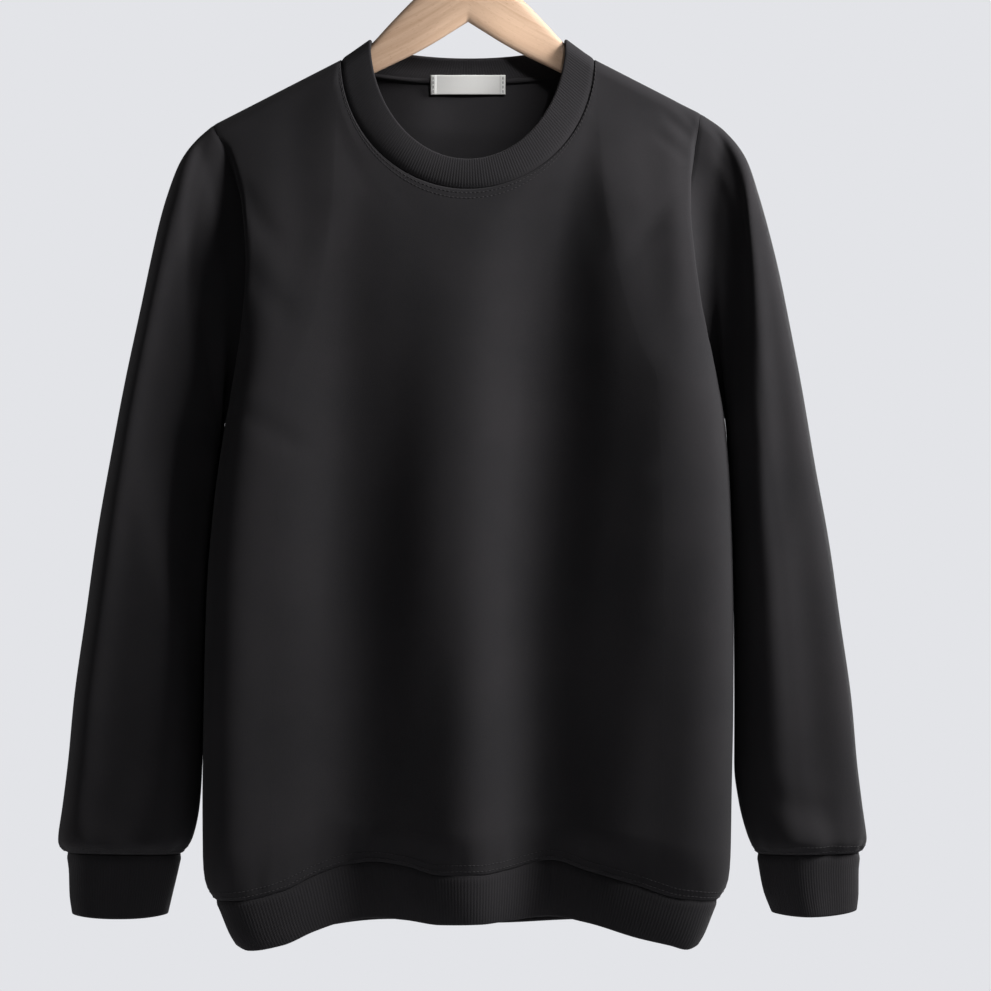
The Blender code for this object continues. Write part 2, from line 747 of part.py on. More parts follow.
def make_panel(name, side, material):
    points, normals = panel_grids(side)[:2]
    shift = seam_shift(points, rows=(0, -1), columns=(0, -1))
    for column, hand in ((SHOULDER_COLUMNS, -1), (-SHOULDER_COLUMNS - 1, 1)):
        along = unit(np.array([hand, 0.0, -SHOULDER_SLOPE]))
        shift[0, column] = (along + np.array([0.0, -side, 0.0])) * (SEAM_GAP / 2)
    outer = points + shift
    make_wall(name, outer, outer - normals * CLOTH_WALL, material)


def make_rib(name, outer, normals, material):
    """A rib band: as thin as the cloth at the seam it is sewn to, then double."""
    thickness = np.full(len(outer), RIB_WALL)
    thickness[0] = CLOTH_WALL
    inner = outer - normals * thickness[:, None, None]
    make_wall(name, outer, inner, material, closed=True)


def close_ring(front, back):
    """One ring of columns from a front half and a back half that share their ends."""
    return np.concatenate([front[:, :-1], back[:, :0:-1]], axis=1)


def make_neckband(material):
    front = panel_grids(1)
    back = panel_grids(-1)
    points = close_ring(front[2], back[2])
    normals = close_ring(front[3], back[3])
    outer = points + seam_shift(points, rows=(0,), closed=True)
    make_rib("neckband", outer, normals, material)


def make_hem_band(material):
    front = panel_grids(1)
    back = panel_grids(-1)
    points = close_ring(front[4], back[4])
    normals = close_ring(front[5], back[5])
    outer = points + seam_shift(points, rows=(0,), closed=True)
    make_rib("hem_band", outer, normals, material)


def sleeve_grids(hand):
    """Points and thickness directions of one sleeve and its cuff."""
    points, normals = raw_sleeve(hand)
    place = np.arange(points.shape[1]) / points.shape[1]
    cuff = cuff_surface(np.array(CUFF_STEPS, float)[:, None], place[None, :], hand)
    cuff_normals = grid_normals(cuff, cuff - cuff.mean(axis=1, keepdims=True), closed=True)
    front = armhole_directions(hand, 1)
    back = armhole_directions(hand, -1)
    normals[0] = np.concatenate([front, back[-2:0:-1]])
    cuff_seam = unit(normals[-1] + cuff_normals[0])
    normals[-1] = cuff_seam
    cuff_normals[0] = cuff_seam
    return points, normals, cuff, cuff_normals


def make_sleeve(name, cuff_name, hand, cloth, rib):
    """A sleeve in an upper and a lower part that meet at the elbow, and its cuff."""
    points, normals, cuff, cuff_normals = sleeve_grids(hand)
    elbow = SLEEVE_STEPS.index(ELBOW)
    for part, rows in (("_upper", slice(0, elbow + 1)), ("_lower", slice(elbow, None))):
        outer = points[rows] + seam_shift(points[rows], rows=(0, -1), closed=True)
        make_wall(name + part, outer, outer - normals[rows] * CLOTH_WALL, cloth, closed=True)
    cuff_outer = cuff + seam_shift(cuff, rows=(0,), closed=True)
    make_rib(cuff_name, cuff_outer, cuff_normals, rib)


def make_label(material):
    """A small woven label over the back neck seam, made from the points behind it."""
    points, normals, band, band_normals = panel_grids(-1)[:4]
    first = SHOULDER_COLUMNS
    last = first + NECK_COLUMNS + 1
    panel_inner = (points - normals * CLOTH_WALL)[1:4, first:last]
    band_inner = band - band_normals * RIB_WALL
    behind = np.concatenate([band_inner[::-1], panel_inner], axis=0)
    x = np.linspace(-LABEL_WIDTH / 2, LABEL_WIDTH / 2, LABEL_COLUMNS)
    z = np.linspace(LABEL_TOP, LABEL_BOTTOM, LABEL_ROWS)
    y = np.zeros((len(z), len(x)))
    for index, place in enumerate(x):
        column = [np.interp(place, row[:, 0], row[:, 1]) for row in behind]
        height = [np.interp(place, row[:, 0], row[:, 2]) for row in behind]
        y[:, index] = np.interp(-z, -np.array(height), column)
    grid_x, grid_z = np.meshgrid(x, z)
    back = np.stack([grid_x, y - LABEL_CLEARANCE, grid_z], axis=-1)
    front = back - np.array([0.0, LABEL_WALL, 0.0])
    make_wall("neck_label", front, back, material)


# ---- Hanger --------------------------------------------------------------
def make_hanger(material):
    """Wooden arms: rounded upright sections set along the hanger's outline."""
    half = np.array(HANGER_PROFILE, float)
    left = half[:0:-1] * np.array([-1.0, 1.0, 1.0])
    profile = np.concatenate([left, half])
    angle = 2.0 * np.pi * np.arange(ARM_SIDES) / ARM_SIDES
    up = power(np.cos(angle), 2.0 / ARM_SQUARENESS)
    out = power(np.sin(angle), 2.0 / ARM_SQUARENESS)
    middle = (profile[:, 1] + profile[:, 2]) / 2
    reach = (profile[:, 1] - profile[:, 2]) / 2
    x = np.repeat(profile[:, :1], ARM_SIDES, axis=1)
    y = np.repeat(ARM_HALF_THICKNESS * out[None, :], len(profile), axis=0)
    z = middle[:, None] + reach[:, None] * up[None, :]
    rings = np.stack([x, y, z], axis=-1)
    points = rings.reshape(-1, 3) * MM
    faces = []
    for ring in range(len(profile) - 1):
        for side in range(ARM_SIDES):
            follow = (side + 1) % ARM_SIDES
            start = ring * ARM_SIDES
            end = start + ARM_SIDES
            faces.append((start + side, start + follow, end + follow, end + side))
    last = (len(profile) - 1) * ARM_SIDES
    faces.append(tuple(reversed(range(ARM_SIDES))))
    faces.append(tuple(last + side for side in range(ARM_SIDES)))
    hanger = make_object("hanger", points, faces, material)

    hole_radius = (WIRE_RADIUS + HOLE_CLEARANCE) * MM
    top = HANGER_PROFILE[0][1]
    bottom = top - STEM_DEPTH - HOLE_CLEARANCE
    above = 10.0
    bpy.ops.mesh.primitive_cylinder_add(
        vertices=HOLE_SIDES,
        radius=hole_radius,
        depth=(top + above - bottom) * MM,
        location=(0.0, 0.0, (top + above + bottom) / 2 * MM),
    )
    cutter = bpy.context.object
    cutter.name = "hole_cutter"
    cutter.hide_render = True
    cutter.display_type = "WIRE"
    cut = hanger.modifiers.new("hook hole", "BOOLEAN")
    cut.operation = "DIFFERENCE"
    cut.object = cutter


def hook_line():
    """Centre line of the hook: stem, small bend, then the open loop."""
    loop_centre = -HOOK_RADIUS + WIRE_RADIUS
    rise = math.sqrt((WIRE_BEND + HOOK_RADIUS) ** 2 - WIRE_BEND ** 2)
    bend_centre = loop_centre - rise
    meet = math.atan2(-rise, WIRE_BEND)
    bottom = HANGER_PROFILE[0][1] - STEM_DEPTH
    line = [(0.0, bottom), (0.0, (bottom + bend_centre) / 2), (0.0, bend_centre)]
    for angle in np.linspace(math.pi, math.pi + meet, BEND_STEPS)[1:]:
        line.append((
            WIRE_BEND + WIRE_BEND * math.cos(angle),
            bend_centre + WIRE_BEND * math.sin(angle),
        ))
    for angle in np.linspace(meet, math.radians(HOOK_END_ANGLE), LOOP_STEPS)[1:]:
        line.append((
            HOOK_RADIUS * math.cos(angle),
            loop_centre + HOOK_RADIUS * math.sin(angle),
        ))
    return line


def make_hook(material):
    """Bent steel wire as a bevelled curve with filled ends."""
    curve = bpy.data.curves.new("hook", "CURVE")
    curve.dimensions = "3D"
    curve.bevel_depth = WIRE_RADIUS * MM
    curve.bevel_resolution = WIRE_BEVEL
    curve.use_fill_caps = True
    line = hook_line()
    spline = curve.splines.new("POLY")
    spline.points.add(len(line) - 1)
    for point, (x, z) in zip(spline.points, line):
        point.co = (x * MM, 0.0, z * MM, 1.0)
    curve.materials.append(material)
    hook = bpy.data.objects.new("hook", curve)
    bpy.context.scene.collection.objects.link(hook)


def main():
    for old in list(bpy.data.objects):
        bpy.data.objects.remove(old, do_unlink=True)
    fleece = make_material("charcoal fleece", CHARCOAL, 0.95)
    rib = make_material("charcoal rib knit", RIB_CHARCOAL, 0.95)
    woven = make_material("white woven label", LABEL_WHITE, 0.8)
    wood = make_material("beech wood", BEECH, 0.45)
    steel = make_material("bright steel", STEEL, 0.25, 1.0)
    make_panel("front", 1, fleece)
    make_panel("back", -1, fleece)
    make_sleeve("sleeve_left", "cuff_left", -1, fleece, rib)
    make_sleeve("sleeve_right", "cuff_right", 1, fleece, rib)
    make_hem_band(rib)
    make_neckband(rib)
    make_label(woven)
    make_hanger(wood)
    make_hook(steel)


main()
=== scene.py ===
# %% [markdown]
# # A crewneck sweatshirt on a wooden hanger
# The garment is cotton fleece: a smooth knitted face with a brushed back. It is cut as
# a front, a back and two sleeves, and finished with rib knit at the neck, cuffs and hem.
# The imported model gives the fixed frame, so every piece below is drawn in its place.

# %% Load the frame
import math

import bpy
import numpy as np
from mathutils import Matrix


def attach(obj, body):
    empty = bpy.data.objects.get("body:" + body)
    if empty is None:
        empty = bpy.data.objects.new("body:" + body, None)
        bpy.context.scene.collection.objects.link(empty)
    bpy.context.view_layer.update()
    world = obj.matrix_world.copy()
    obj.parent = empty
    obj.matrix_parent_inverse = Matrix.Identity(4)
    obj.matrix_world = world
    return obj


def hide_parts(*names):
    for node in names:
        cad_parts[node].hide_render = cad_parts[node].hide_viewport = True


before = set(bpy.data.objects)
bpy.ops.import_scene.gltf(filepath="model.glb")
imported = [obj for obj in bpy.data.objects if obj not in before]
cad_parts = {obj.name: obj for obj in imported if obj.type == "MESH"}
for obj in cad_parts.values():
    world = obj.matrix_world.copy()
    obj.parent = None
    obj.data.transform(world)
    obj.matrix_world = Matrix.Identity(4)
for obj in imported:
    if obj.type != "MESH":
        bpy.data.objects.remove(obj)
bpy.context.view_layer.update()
MM = 0.001

# %% [markdown]
# ## Small tools
# Every shape below is a formula on a grid. A few curves do most of the work: a soft S,
# a curve through table points that never overshoots, and a signed power, which draws
# the rounded-square sections of sleeves, cuffs and hanger.


# %% Curve tools
def smooth_step(low, high, x):
    """0 below low, 1 above high, and a soft S between: 3 s squared minus 2 s cubed."""
    s = np.clip((x - low) / (high - low), 0.0, 1.0)
    return s * s * (3.0 - 2.0 * s)


def curve_through(x_points, y_points, x):
    """Cubic pieces through the points; each tangent is the harmonic mean of its slopes."""
    x_points = np.asarray(x_points, float)
    y_points = np.asarray(y_points, float)
    step = np.diff(x_points)
    slope = np.diff(y_points) / step
    tangent = np.zeros_like(y_points)
    same = slope[:-1] * slope[1:] > 0
    total = np.where(same, slope[:-1] + slope[1:], 1.0)
    tangent[1:-1] = np.where(same, 2.0 * slope[:-1] * slope[1:] / total, 0.0)
    tangent[0] = slope[0]
    tangent[-1] = slope[-1]
    x = np.clip(x, x_points[0], x_points[-1])
    cell = np.clip(np.searchsorted(x_points, x) - 1, 0, len(step) - 1)
    s = (x - x_points[cell]) / step[cell]
    start = (1 + 2 * s) * (1 - s) ** 2 * y_points[cell]
    end = s ** 2 * (3 - 2 * s) * y_points[cell + 1]
    bend = s * (1 - s) ** 2 * tangent[cell] - s ** 2 * (1 - s) * tangent[cell + 1]
    return start + end + bend * step[cell]


def look_up(table, column, x):
    """One column of a table at x; the first column is the place, rising or falling."""
    rows = np.asarray(table, float)
    rows = rows[np.argsort(rows[:, 0])]
    return curve_through(rows[:, 0], rows[:, column], x)


def power(value, exponent):
    """Signed power: the sign times the size to the exponent."""
    return np.sign(value) * np.abs(value) ** exponent


def unit(vectors):
    return vectors / np.maximum(np.linalg.norm(vectors, axis=-1, keepdims=True), 1e-9)


def on_one_grid(first, second):
    """Both values as numbers on one common grid."""
    return np.broadcast_arrays(np.asarray(first, float), np.asarray(second, float))


def length_along(line):
    """Distance of each point from the first, measured along the line."""
    return np.concatenate([[0.0], np.cumsum(np.linalg.norm(np.diff(line, axis=0), axis=-1))])


# %% [markdown]
# ## The cut, in millimetres
# These are the sizes a pattern maker would give, in the frame's own coordinates: X runs
# across, the front faces -Y, Z is up, and the origin is the inside of the hook's crown.
# Where a value differs by side, 1 is the front and -1 the back. Where it differs by hand,
# -1 is the sleeve at -X and 1 the one at +X.

# %% Sizes of the cut
CLOTH_WALL = 2.0
RIB_WALL = 3.0
SEAM_GAP = 0.18
NECK_HALF = 101.6
NECK_TOP = -140.5
SHOULDER_SLOPE = 0.5117
SHOULDER_END = {-1: 203.0, 1: 186.0}
RIDGE_RADIUS = 11.0
RIDGE_BLEND = 20.0
NECK_DROP = {1: 105.0, -1: 15.0}
BAND_HALF = 78.0
BAND_TOP = -124.0
BAND_DROP = {1: 97.0, -1: 14.0}
BAND_BULGE = 1.6
BAND_LEAN = {1: 0.93, -1: 0.3}
NECK_SHARE = 0.58
UNDERARM = 0.38
HEM_SIDE = -811.0
ROUNDING = 3.2
PANEL_ROUNDING = {1: 6.0, -1: ROUNDING}
SHAPE_BLEND = 0.22
HEM_TUCK = 0.10
TUCK_FROM = 0.94
SLEEVE_SQUARENESS = 2.3
SLEEVE_FRONT_SQUARENESS = 4.6
CUFF_SQUARENESS = 2.5
SQUARE_TO_ROW = 10.5
CUFF_ROW = 13.0
SLEEVE_FRONT = [
    # table row, share of the depth that the front keeps: left, right
    (0, 1, 1), (1, 0.66, 0.56), (2.5, 0.56, 0.62), (5, 0.58, 0.66), (7.5, 0.74, 0.67),
    (11, 0.88, 0.72), (13, 1, 1),
]
CAP_END = 2.5
UNDERARM_TURN = 0.3
CUFF_SAG = 3.0

BODY_WIDTHS = [
    # height  left   right
    (-183.7, 203, 186),
    (-192.4, 203, 184.5),
    (-214, 193, 182),
    (-255, 183, 181.5),
    (-300, 180, 185),
    (-338, 182, 190),
    (-392, 186.5, 198),
    (-437, 194, 205.5),
    (-493, 202, 209.5),
    (-573, 208, 211.5),
    (-653, 210, 211.5),
    (-733, 211.5, 210),
    (-778, 211, 209),
    (-797, 209, 207),
    (-811, 201, 199),
]
BODY_SPREAD = [
    # below ridge  front  back
    (0, 0, 0),
    (8, 0.8, 4.5),
    (15, 2, 9),
    (40, 7, 16),
    (105, 25, 26),
    (180, 37, 35),
    (280, 46, 42),
    (450, 52, 48),
    (680, 53, 50),
]
FRONT_SEAM = [
    # x      height of the hem seam
    (-201, -811), (-178, -810), (-147, -803), (-121, -791),
    (-98, -783), (-74, -780), (-50, -783), (-22, -790),
    (10, -790), (34, -786), (66, -779), (94, -787),
    (134, -798), (167, -808), (199, -811),
]
FRONT_EDGE = [
    # x      height of the hem's free edge
    (-184, -847), (-174, -850.5), (-147, -846), (-121, -835),
    (-98, -828), (-74, -825), (-50, -826.5), (-22, -830),
    (10, -829.5), (34, -827), (66, -824), (94, -828.5),
    (134, -840), (160, -846), (174, -849.5), (182, -847),
]
BACK_SEAM = [
    (-201, -811), (-150, -804), (-62, -792), (18, -797),
    (96, -791), (160, -804), (199, -811),
]
BACK_EDGE = [
    (-184, -847), (-150, -843), (-62, -831), (18, -835),
    (96, -831), (150, -843), (182, -847),
]
HEM_SHAPE = [
    # share  width  depth
    (0, 1, 1), (0.35, 0.975, 0.99), (0.75, 0.945, 0.95), (1, 0.918, 0.90),
]
SLEEVES = {
    # outer x, outer z, inner x, inner z, half depth
    -1: [
        (-203, -192.4, -191.5, -427, 35), (-217, -205, -194.6, -434, 45),
        (-228, -221, -195.5, -442, 52), (-240, -253, -197.2, -452, 58),
        (-253, -301, -199.1, -466, 63), (-267, -365, -202.3, -490, 66),
        (-280, -432, -205.4, -523, 67), (-293, -509, -208.8, -565, 65),
        (-304, -580, -210.3, -611, 61), (-314, -652, -211.4, -660, 56),
        (-319, -701, -212.4, -703, 51), (-323, -737, -214.6, -737, 47),
        (-326.5, -765, -221, -765, 42), (-321, -775, -229, -776, 31),
    ],
    1: [
        (186, -183.7, 203.5, -421.7, 35), (206, -198.5, 206.2, -431, 45),
        (221, -218, 206.8, -440, 52), (233, -252, 207.6, -450, 58),
        (246, -302, 208.5, -465, 63), (259, -365, 209.9, -489, 66),
        (271, -432, 211.2, -522, 67), (285, -509, 212.4, -564, 65),
        (296, -580, 212.8, -610, 61), (306, -653, 213, -659, 56),
        (311, -701, 212.9, -703, 51), (315, -733, 216.5, -734, 47),
        (318.5, -762, 225, -765, 42), (313.5, -775, 231, -776, 31),
    ],
}
CUFFS = {
    # the sleeve's last row, then on down to the free edge
    -1: SLEEVES[-1][-1:] + [
        (-319, -790, -232, -790, 29), (-318.5, -808, -236, -807, 26.5),
        (-316.5, -824, -240, -824, 24),
    ],
    1: SLEEVES[1][-1:] + [
        (312, -790, 233, -790, 29), (312, -806, 236, -805, 26.5),
        (310.5, -821, 243, -823, 24),
    ],
}
print("cut: hem to neck point", HEM_SIDE - NECK_TOP, "mm")

# %% [markdown]
# ## How the cloth hangs
# Fleece is thick, so it hangs in a few broad, upright folds that start under the
# shoulders and reach the hem. Each fold is a ridge or trough along a line, with its own
# width on either side, and its height comes from a short table. Folds listed one by one
# give closer control than a cloth simulation of a whole garment, and they repeat exactly.

# %% Fold tables and their sum
# Each fold: rows of height, x, width to the left, width to the right, lift.
FRONT_FOLDS = [
    [(-190, -176, 26, 44, 2), (-215, -184, 24, 46, 10),
     (-250, -187, 24, 48, 14), (-330, -189, 24, 48, 15),
     (-413, -193, 22, 42, 14), (-573, -200, 18, 36, 12),
     (-811, -202, 18, 36, 11)],
    [(-250, -78, 46, 40, 0), (-330, -82, 46, 42, -6),
     (-413, -86, 46, 46, -13), (-573, -90, 44, 48, -18.5),
     (-811, -92, 44, 50, -19)],
    [(-250, -6, 34, 26, 0), (-413, 4, 34, 26, 3),
     (-573, 2, 34, 26, 4), (-811, -2, 34, 26, 5)],
    [(-190, 84, 20, 20, 0), (-253, 74, 44, 28, -8),
     (-293, 70, 48, 32, -11), (-357, 66, 48, 42, -17),
     (-413, 62, 46, 50, -22), (-573, 59, 40, 50, -26),
     (-700, 57, 34, 48, -26), (-811, 58, 32, 48, -25)],
    [(-180, 150, 50, 20, 0), (-215, 172, 56, 20, 8),
     (-253, 177, 56, 20, 10), (-320, 184, 58, 22, 12.5),
     (-413, 192, 56, 24, 14), (-573, 199, 54, 24, 14),
     (-811, 199, 52, 24, 13)],
    [(-170, 158, 14, 12, 0), (-205, 164, 14, 12, 3.2),
     (-290, 168, 14, 12, 2.8), (-380, 172, 14, 12, 0)],
]
BACK_FOLDS = [
    [(-300, -124, 34, 38, 0), (-500, -132, 36, 38, 5),
     (-811, -140, 36, 38, 7)],
    [(-280, -50, 30, 36, 0), (-480, -56, 34, 38, -8),
     (-811, -62, 34, 40, -10)],
    [(-260, 24, 32, 38, 0), (-500, 22, 36, 38, 5),
     (-811, 18, 36, 38, 7)],
    [(-270, 92, 30, 30, 0), (-470, 94, 32, 36, -8),
     (-811, 96, 34, 36, -10)],
    [(-320, 152, 28, 30, 0), (-520, 160, 30, 30, 4),
     (-811, 168, 32, 28, 5)],
]


def fold_lift(folds, x, z):
    """Sum over folds of lift times exp of minus (distance over width) squared."""
    total = np.zeros(np.broadcast(x, z).shape)
    for rows in folds:
        centre, left, right, lift = [look_up(rows, column, z) for column in (1, 2, 3, 4)]
        away = x - centre
        total = total + lift * np.exp(-(away / np.where(away < 0, left, right)) ** 2)
    return total


print("folds:", len(FRONT_FOLDS), "front,", len(BACK_FOLDS), "back")

# %% [markdown]
# ## Body panels
# A panel is drawn from its top edge (shoulder, neckline, shoulder) down to the hem seam.
# Near the top it follows the hanger, where the cloth turns over a rounded arm. Further
# down its section becomes half of a rounded oblong, so that front and back enclose a
# hollow. Front and back meet at the shoulders and below the armholes.


# %% Panel surface
def shoulder_end(u):
    return np.where(u < 0, SHOULDER_END[-1], SHOULDER_END[1])


def shoulder_height(x):
    """A straight slope: neck height minus the slope times the distance past the neck."""
    return NECK_TOP - SHOULDER_SLOPE * (np.abs(x) - NECK_HALF)


def half_depth(drop, side, share=1.0):
    """A quarter circle over the arm, then the panel's spread beyond it."""
    inside = np.clip(RIDGE_RADIUS - drop, 0.0, RIDGE_RADIUS)
    turned = np.sqrt(RIDGE_RADIUS ** 2 - inside ** 2)
    return turned + share * look_up(BODY_SPREAD, 1 if side > 0 else 2, drop)


def section_shape(u, edge, rounding=ROUNDING):
    """Across: a sine walk to the edge; depth: the superellipse of that share across."""
    limit = np.arccos(np.clip(edge, 0.0, 0.995) ** (ROUNDING / 2.0))
    angle = limit * np.abs(u) ** (ROUNDING / 2.0)
    across = (np.sin(angle) / np.sin(limit)) ** (2.0 / ROUNDING)
    turned = np.clip(1.0 - (1.0 - edge ** rounding) * across ** rounding, 0.0, 1.0)
    return np.sign(u) * across, turned ** (1.0 / rounding)


def armhole_edge(v):
    """Depth left at the armhole: almost full at the shoulder, none at the underarm."""
    share = np.clip(v / UNDERARM, 0.0, 1.0)
    return 0.99 * (1.0 - share ** 2.2) ** 0.6


def top_line(u, side):
    """Half ellipse of the neckline and the sloping shoulders, with the ridge's height.

    The soft ridge rounds the neck point off by a log of one plus an exponential.
    """
    turn = np.pi / 2 * np.clip(u / NECK_SHARE, -1.0, 1.0)
    along = np.clip((np.abs(u) - NECK_SHARE) / (1.0 - NECK_SHARE), 0.0, 1.0)
    shoulder_x = np.sign(u) * (NECK_HALF + (shoulder_end(u) - NECK_HALF) * along)
    in_neck = np.abs(u) <= NECK_SHARE
    x = np.where(in_neck, NECK_HALF * np.sin(turn), shoulder_x)
    z = np.where(in_neck, NECK_TOP - NECK_DROP[side] * np.cos(turn), shoulder_height(x))
    past = (np.abs(x) - NECK_HALF) / RIDGE_BLEND
    sharp = np.where(in_neck, NECK_TOP, z)
    soft = NECK_TOP - SHOULDER_SLOPE * RIDGE_BLEND * np.logaddexp(0.0, past)
    return x, z, sharp, soft


def body_width(z, u):
    return np.where(u < 0, look_up(BODY_WIDTHS, 1, z), look_up(BODY_WIDTHS, 2, z))


def panel_surface(u, v, side):
    """Blend from the top line, at v = 0, to the rounded section, with folds added."""
    u, v = on_one_grid(u, v)
    top_x, top_z, sharp, soft = top_line(u, side)
    ridge = sharp + (soft - sharp) * smooth_step(0.0, 0.1, v)
    end = shoulder_end(u)
    end_z = shoulder_height(end)
    width = body_width(end_z + (HEM_SIDE - end_z) * v, u)
    across, depth = section_shape(u, armhole_edge(v), PANEL_ROUNDING[side])
    hem_across, _ = section_shape(u, np.zeros_like(v))
    hem_x = body_width(np.full_like(u, HEM_SIDE), u) * hem_across
    hem_z = look_up(FRONT_SEAM if side > 0 else BACK_SEAM, 1, hem_x)
    blend = 1.0 - (1.0 - np.clip(v / SHAPE_BLEND, 0.0, 1.0)) ** 2
    outside = np.clip((np.abs(u) - NECK_SHARE) / (1.0 - NECK_SHARE), 0.0, 1.0)
    top_x = top_x * (1.0 + (width / end - 1.0) * outside)
    x = (1.0 - blend) * top_x + blend * width * across
    z = top_z + (hem_z - top_z) * v
    reach = half_depth(ridge - z, side)
    lift = fold_lift(FRONT_FOLDS if side > 0 else BACK_FOLDS, x, z) * depth
    tuck = 1.0 - HEM_TUCK * smooth_step(TUCK_FROM, 1.0, v)
    y = reach * tuck * ((1.0 - blend) + blend * depth) + lift * blend
    return np.stack([x, -side * y, z], axis=-1)


# %% [markdown]
# ## Rib bands, sleeves and cuffs
# The neckband runs from its seam to a free edge higher and further in. The hem band
# hangs from the panels' last row and draws in. A sleeve starts on the armhole's own
# points, which turn into leaning ovals down to the wrist, and the cuff carries on.


# %% Surfaces of the other pieces
def band_surface(turn, r, side):
    """Straight from the neck seam to the free edge, plus a sine bulge between."""
    turn, r = on_one_grid(turn, r)
    seam_drop = NECK_DROP[side] * np.cos(turn)
    edge_drop = BAND_DROP[side] * np.cos(turn)
    seam = np.stack([
        NECK_HALF * np.sin(turn), -side * half_depth(seam_drop, side), NECK_TOP - seam_drop,
    ], axis=-1)
    edge = np.stack([
        BAND_HALF * np.sin(turn),
        -side * half_depth(edge_drop, side, BAND_LEAN[side]),
        BAND_TOP - edge_drop,
    ], axis=-1)
    points = seam + (edge - seam) * r[..., None]
    points[..., 1] -= side * BAND_BULGE * np.sin(np.pi * r) * np.cos(turn)
    return points


def hem_surface(u, r, side):
    """The panels' last row, drawn in by a table and dropped to the free edge."""
    u, r = on_one_grid(u, r)
    seam = panel_surface(u, np.ones_like(u), side)
    edge_x = seam[..., 0] * HEM_SHAPE[-1][1]
    edge_z = look_up(FRONT_EDGE if side > 0 else BACK_EDGE, 1, edge_x)
    return np.stack([
        seam[..., 0] * look_up(HEM_SHAPE, 1, r),
        seam[..., 1] * look_up(HEM_SHAPE, 2, r),
        seam[..., 2] + (edge_z - seam[..., 2]) * r,
    ], axis=-1)


def ring_points(table, t, place, squareness):
    """Oval at table row t: signed powers of cosine and sine, with a squarer front."""
    rows = np.asarray(table, float)
    outer_x, outer_z, inner_x, inner_z, depth = [
        curve_through(np.arange(len(rows)), rows[:, column], t) for column in range(5)
    ]
    angle = 2.0 * np.pi * place
    along = power(np.cos(angle), 2.0 / SLEEVE_SQUARENESS)
    forward = power(np.sin(angle), 2.0 / SLEEVE_SQUARENESS)
    flat_front = (1.0 - np.abs(along) ** squareness) ** (1.0 / squareness)
    forward = np.where(forward > 0.0, flat_front, forward)
    x = (outer_x + inner_x) / 2 + (outer_x - inner_x) / 2 * along
    z = (outer_z + inner_z) / 2 + (outer_z - inner_z) / 2 * along
    return np.stack([x, -depth * forward, z], axis=-1)


def armhole_loop(place, hand):
    """The panels' side edges, front side first, down to the underarm and back up."""
    place = np.mod(place, 1.0)
    v = shoulder_rows(1.0 - np.abs(1.0 - 2.0 * place))
    u = np.full_like(v, float(hand))
    front = panel_surface(u, v, 1)
    back = panel_surface(u, v, -1)
    return np.where((place <= 0.5)[..., None], front, back)


def shoulder_rows(s):
    """Rows down to the underarm, crowded at the top where cloth turns over the arm."""
    return UNDERARM * s ** 1.7


def neck_rows(s):
    return UNDERARM * s ** 1.15


# %% [markdown]
# ## Sleeve folds
# The sleeve is a soft tube hanging straight down, so its folds run along it. Near the
# wrist the cloth piles up a little and blouses over the cuff.

# %% Sleeve surface
# Each fold: rows of table row t, place round the ring, width in places, lift.
SLEEVE_BACK_FOLDS = [
    [(2, 0.62, 0.05, 0), (6, 0.63, 0.05, -3), (12.5, 0.63, 0.05, -0.5)],
    [(2, 0.73, 0.06, 0), (6, 0.72, 0.06, 4), (12.5, 0.72, 0.06, 0.5)],
    [(2, 0.87, 0.05, 0), (6, 0.86, 0.05, -2.5), (12.5, 0.86, 0.05, -0.5)],
]
SLEEVE_FOLDS = {
    -1: [
        [(1.5, 0.38, 0.08, 0), (3.5, 0.37, 0.09, -7), (6, 0.36, 0.09, -13),
         (8, 0.41, 0.07, -10), (10, 0.44, 0.06, -6), (11.3, 0.45, 0.05, -4),
         (12.8, 0.45, 0.05, -0.5)],
        [(1, 0.11, 0.06, 0), (2.5, 0.11, 0.06, 3.5), (5, 0.11, 0.06, 6),
         (9, 0.12, 0.06, 5), (12.5, 0.12, 0.06, 1)],
    ] + SLEEVE_BACK_FOLDS,
    1: [
        [(1, 0.12, 0.06, 0), (2.2, 0.16, 0.06, 2.5), (3.7, 0.22, 0.06, 6),
         (5, 0.26, 0.06, 7), (7, 0.29, 0.06, 7), (11.3, 0.28, 0.06, 6.5),
         (13, 0.27, 0.06, 5.5)],
        [(3, 0.41, 0.07, 0), (6, 0.41, 0.07, -6), (12.5, 0.42, 0.06, -2)],
    ] + SLEEVE_BACK_FOLDS,
}


def sleeve_lift(t, place, hand):
    """Sum over folds of lift times exp of minus (place away over width) squared."""
    total = np.zeros(np.broadcast(t, place).shape)
    for rows in SLEEVE_FOLDS[hand]:
        centre, width, lift = [look_up(rows, column, t) for column in (1, 2, 3)]
        total = total + lift * np.exp(-((place - centre) / width) ** 2)
    return total


def add_folds(points, t, place, hand):
    """The folds go outward: towards -Y on the front half of the ring, +Y behind."""
    outward = np.where(np.mod(place, 1.0) < 0.5, -1.0, 1.0)
    points[..., 1] += outward * sleeve_lift(t, place, hand)


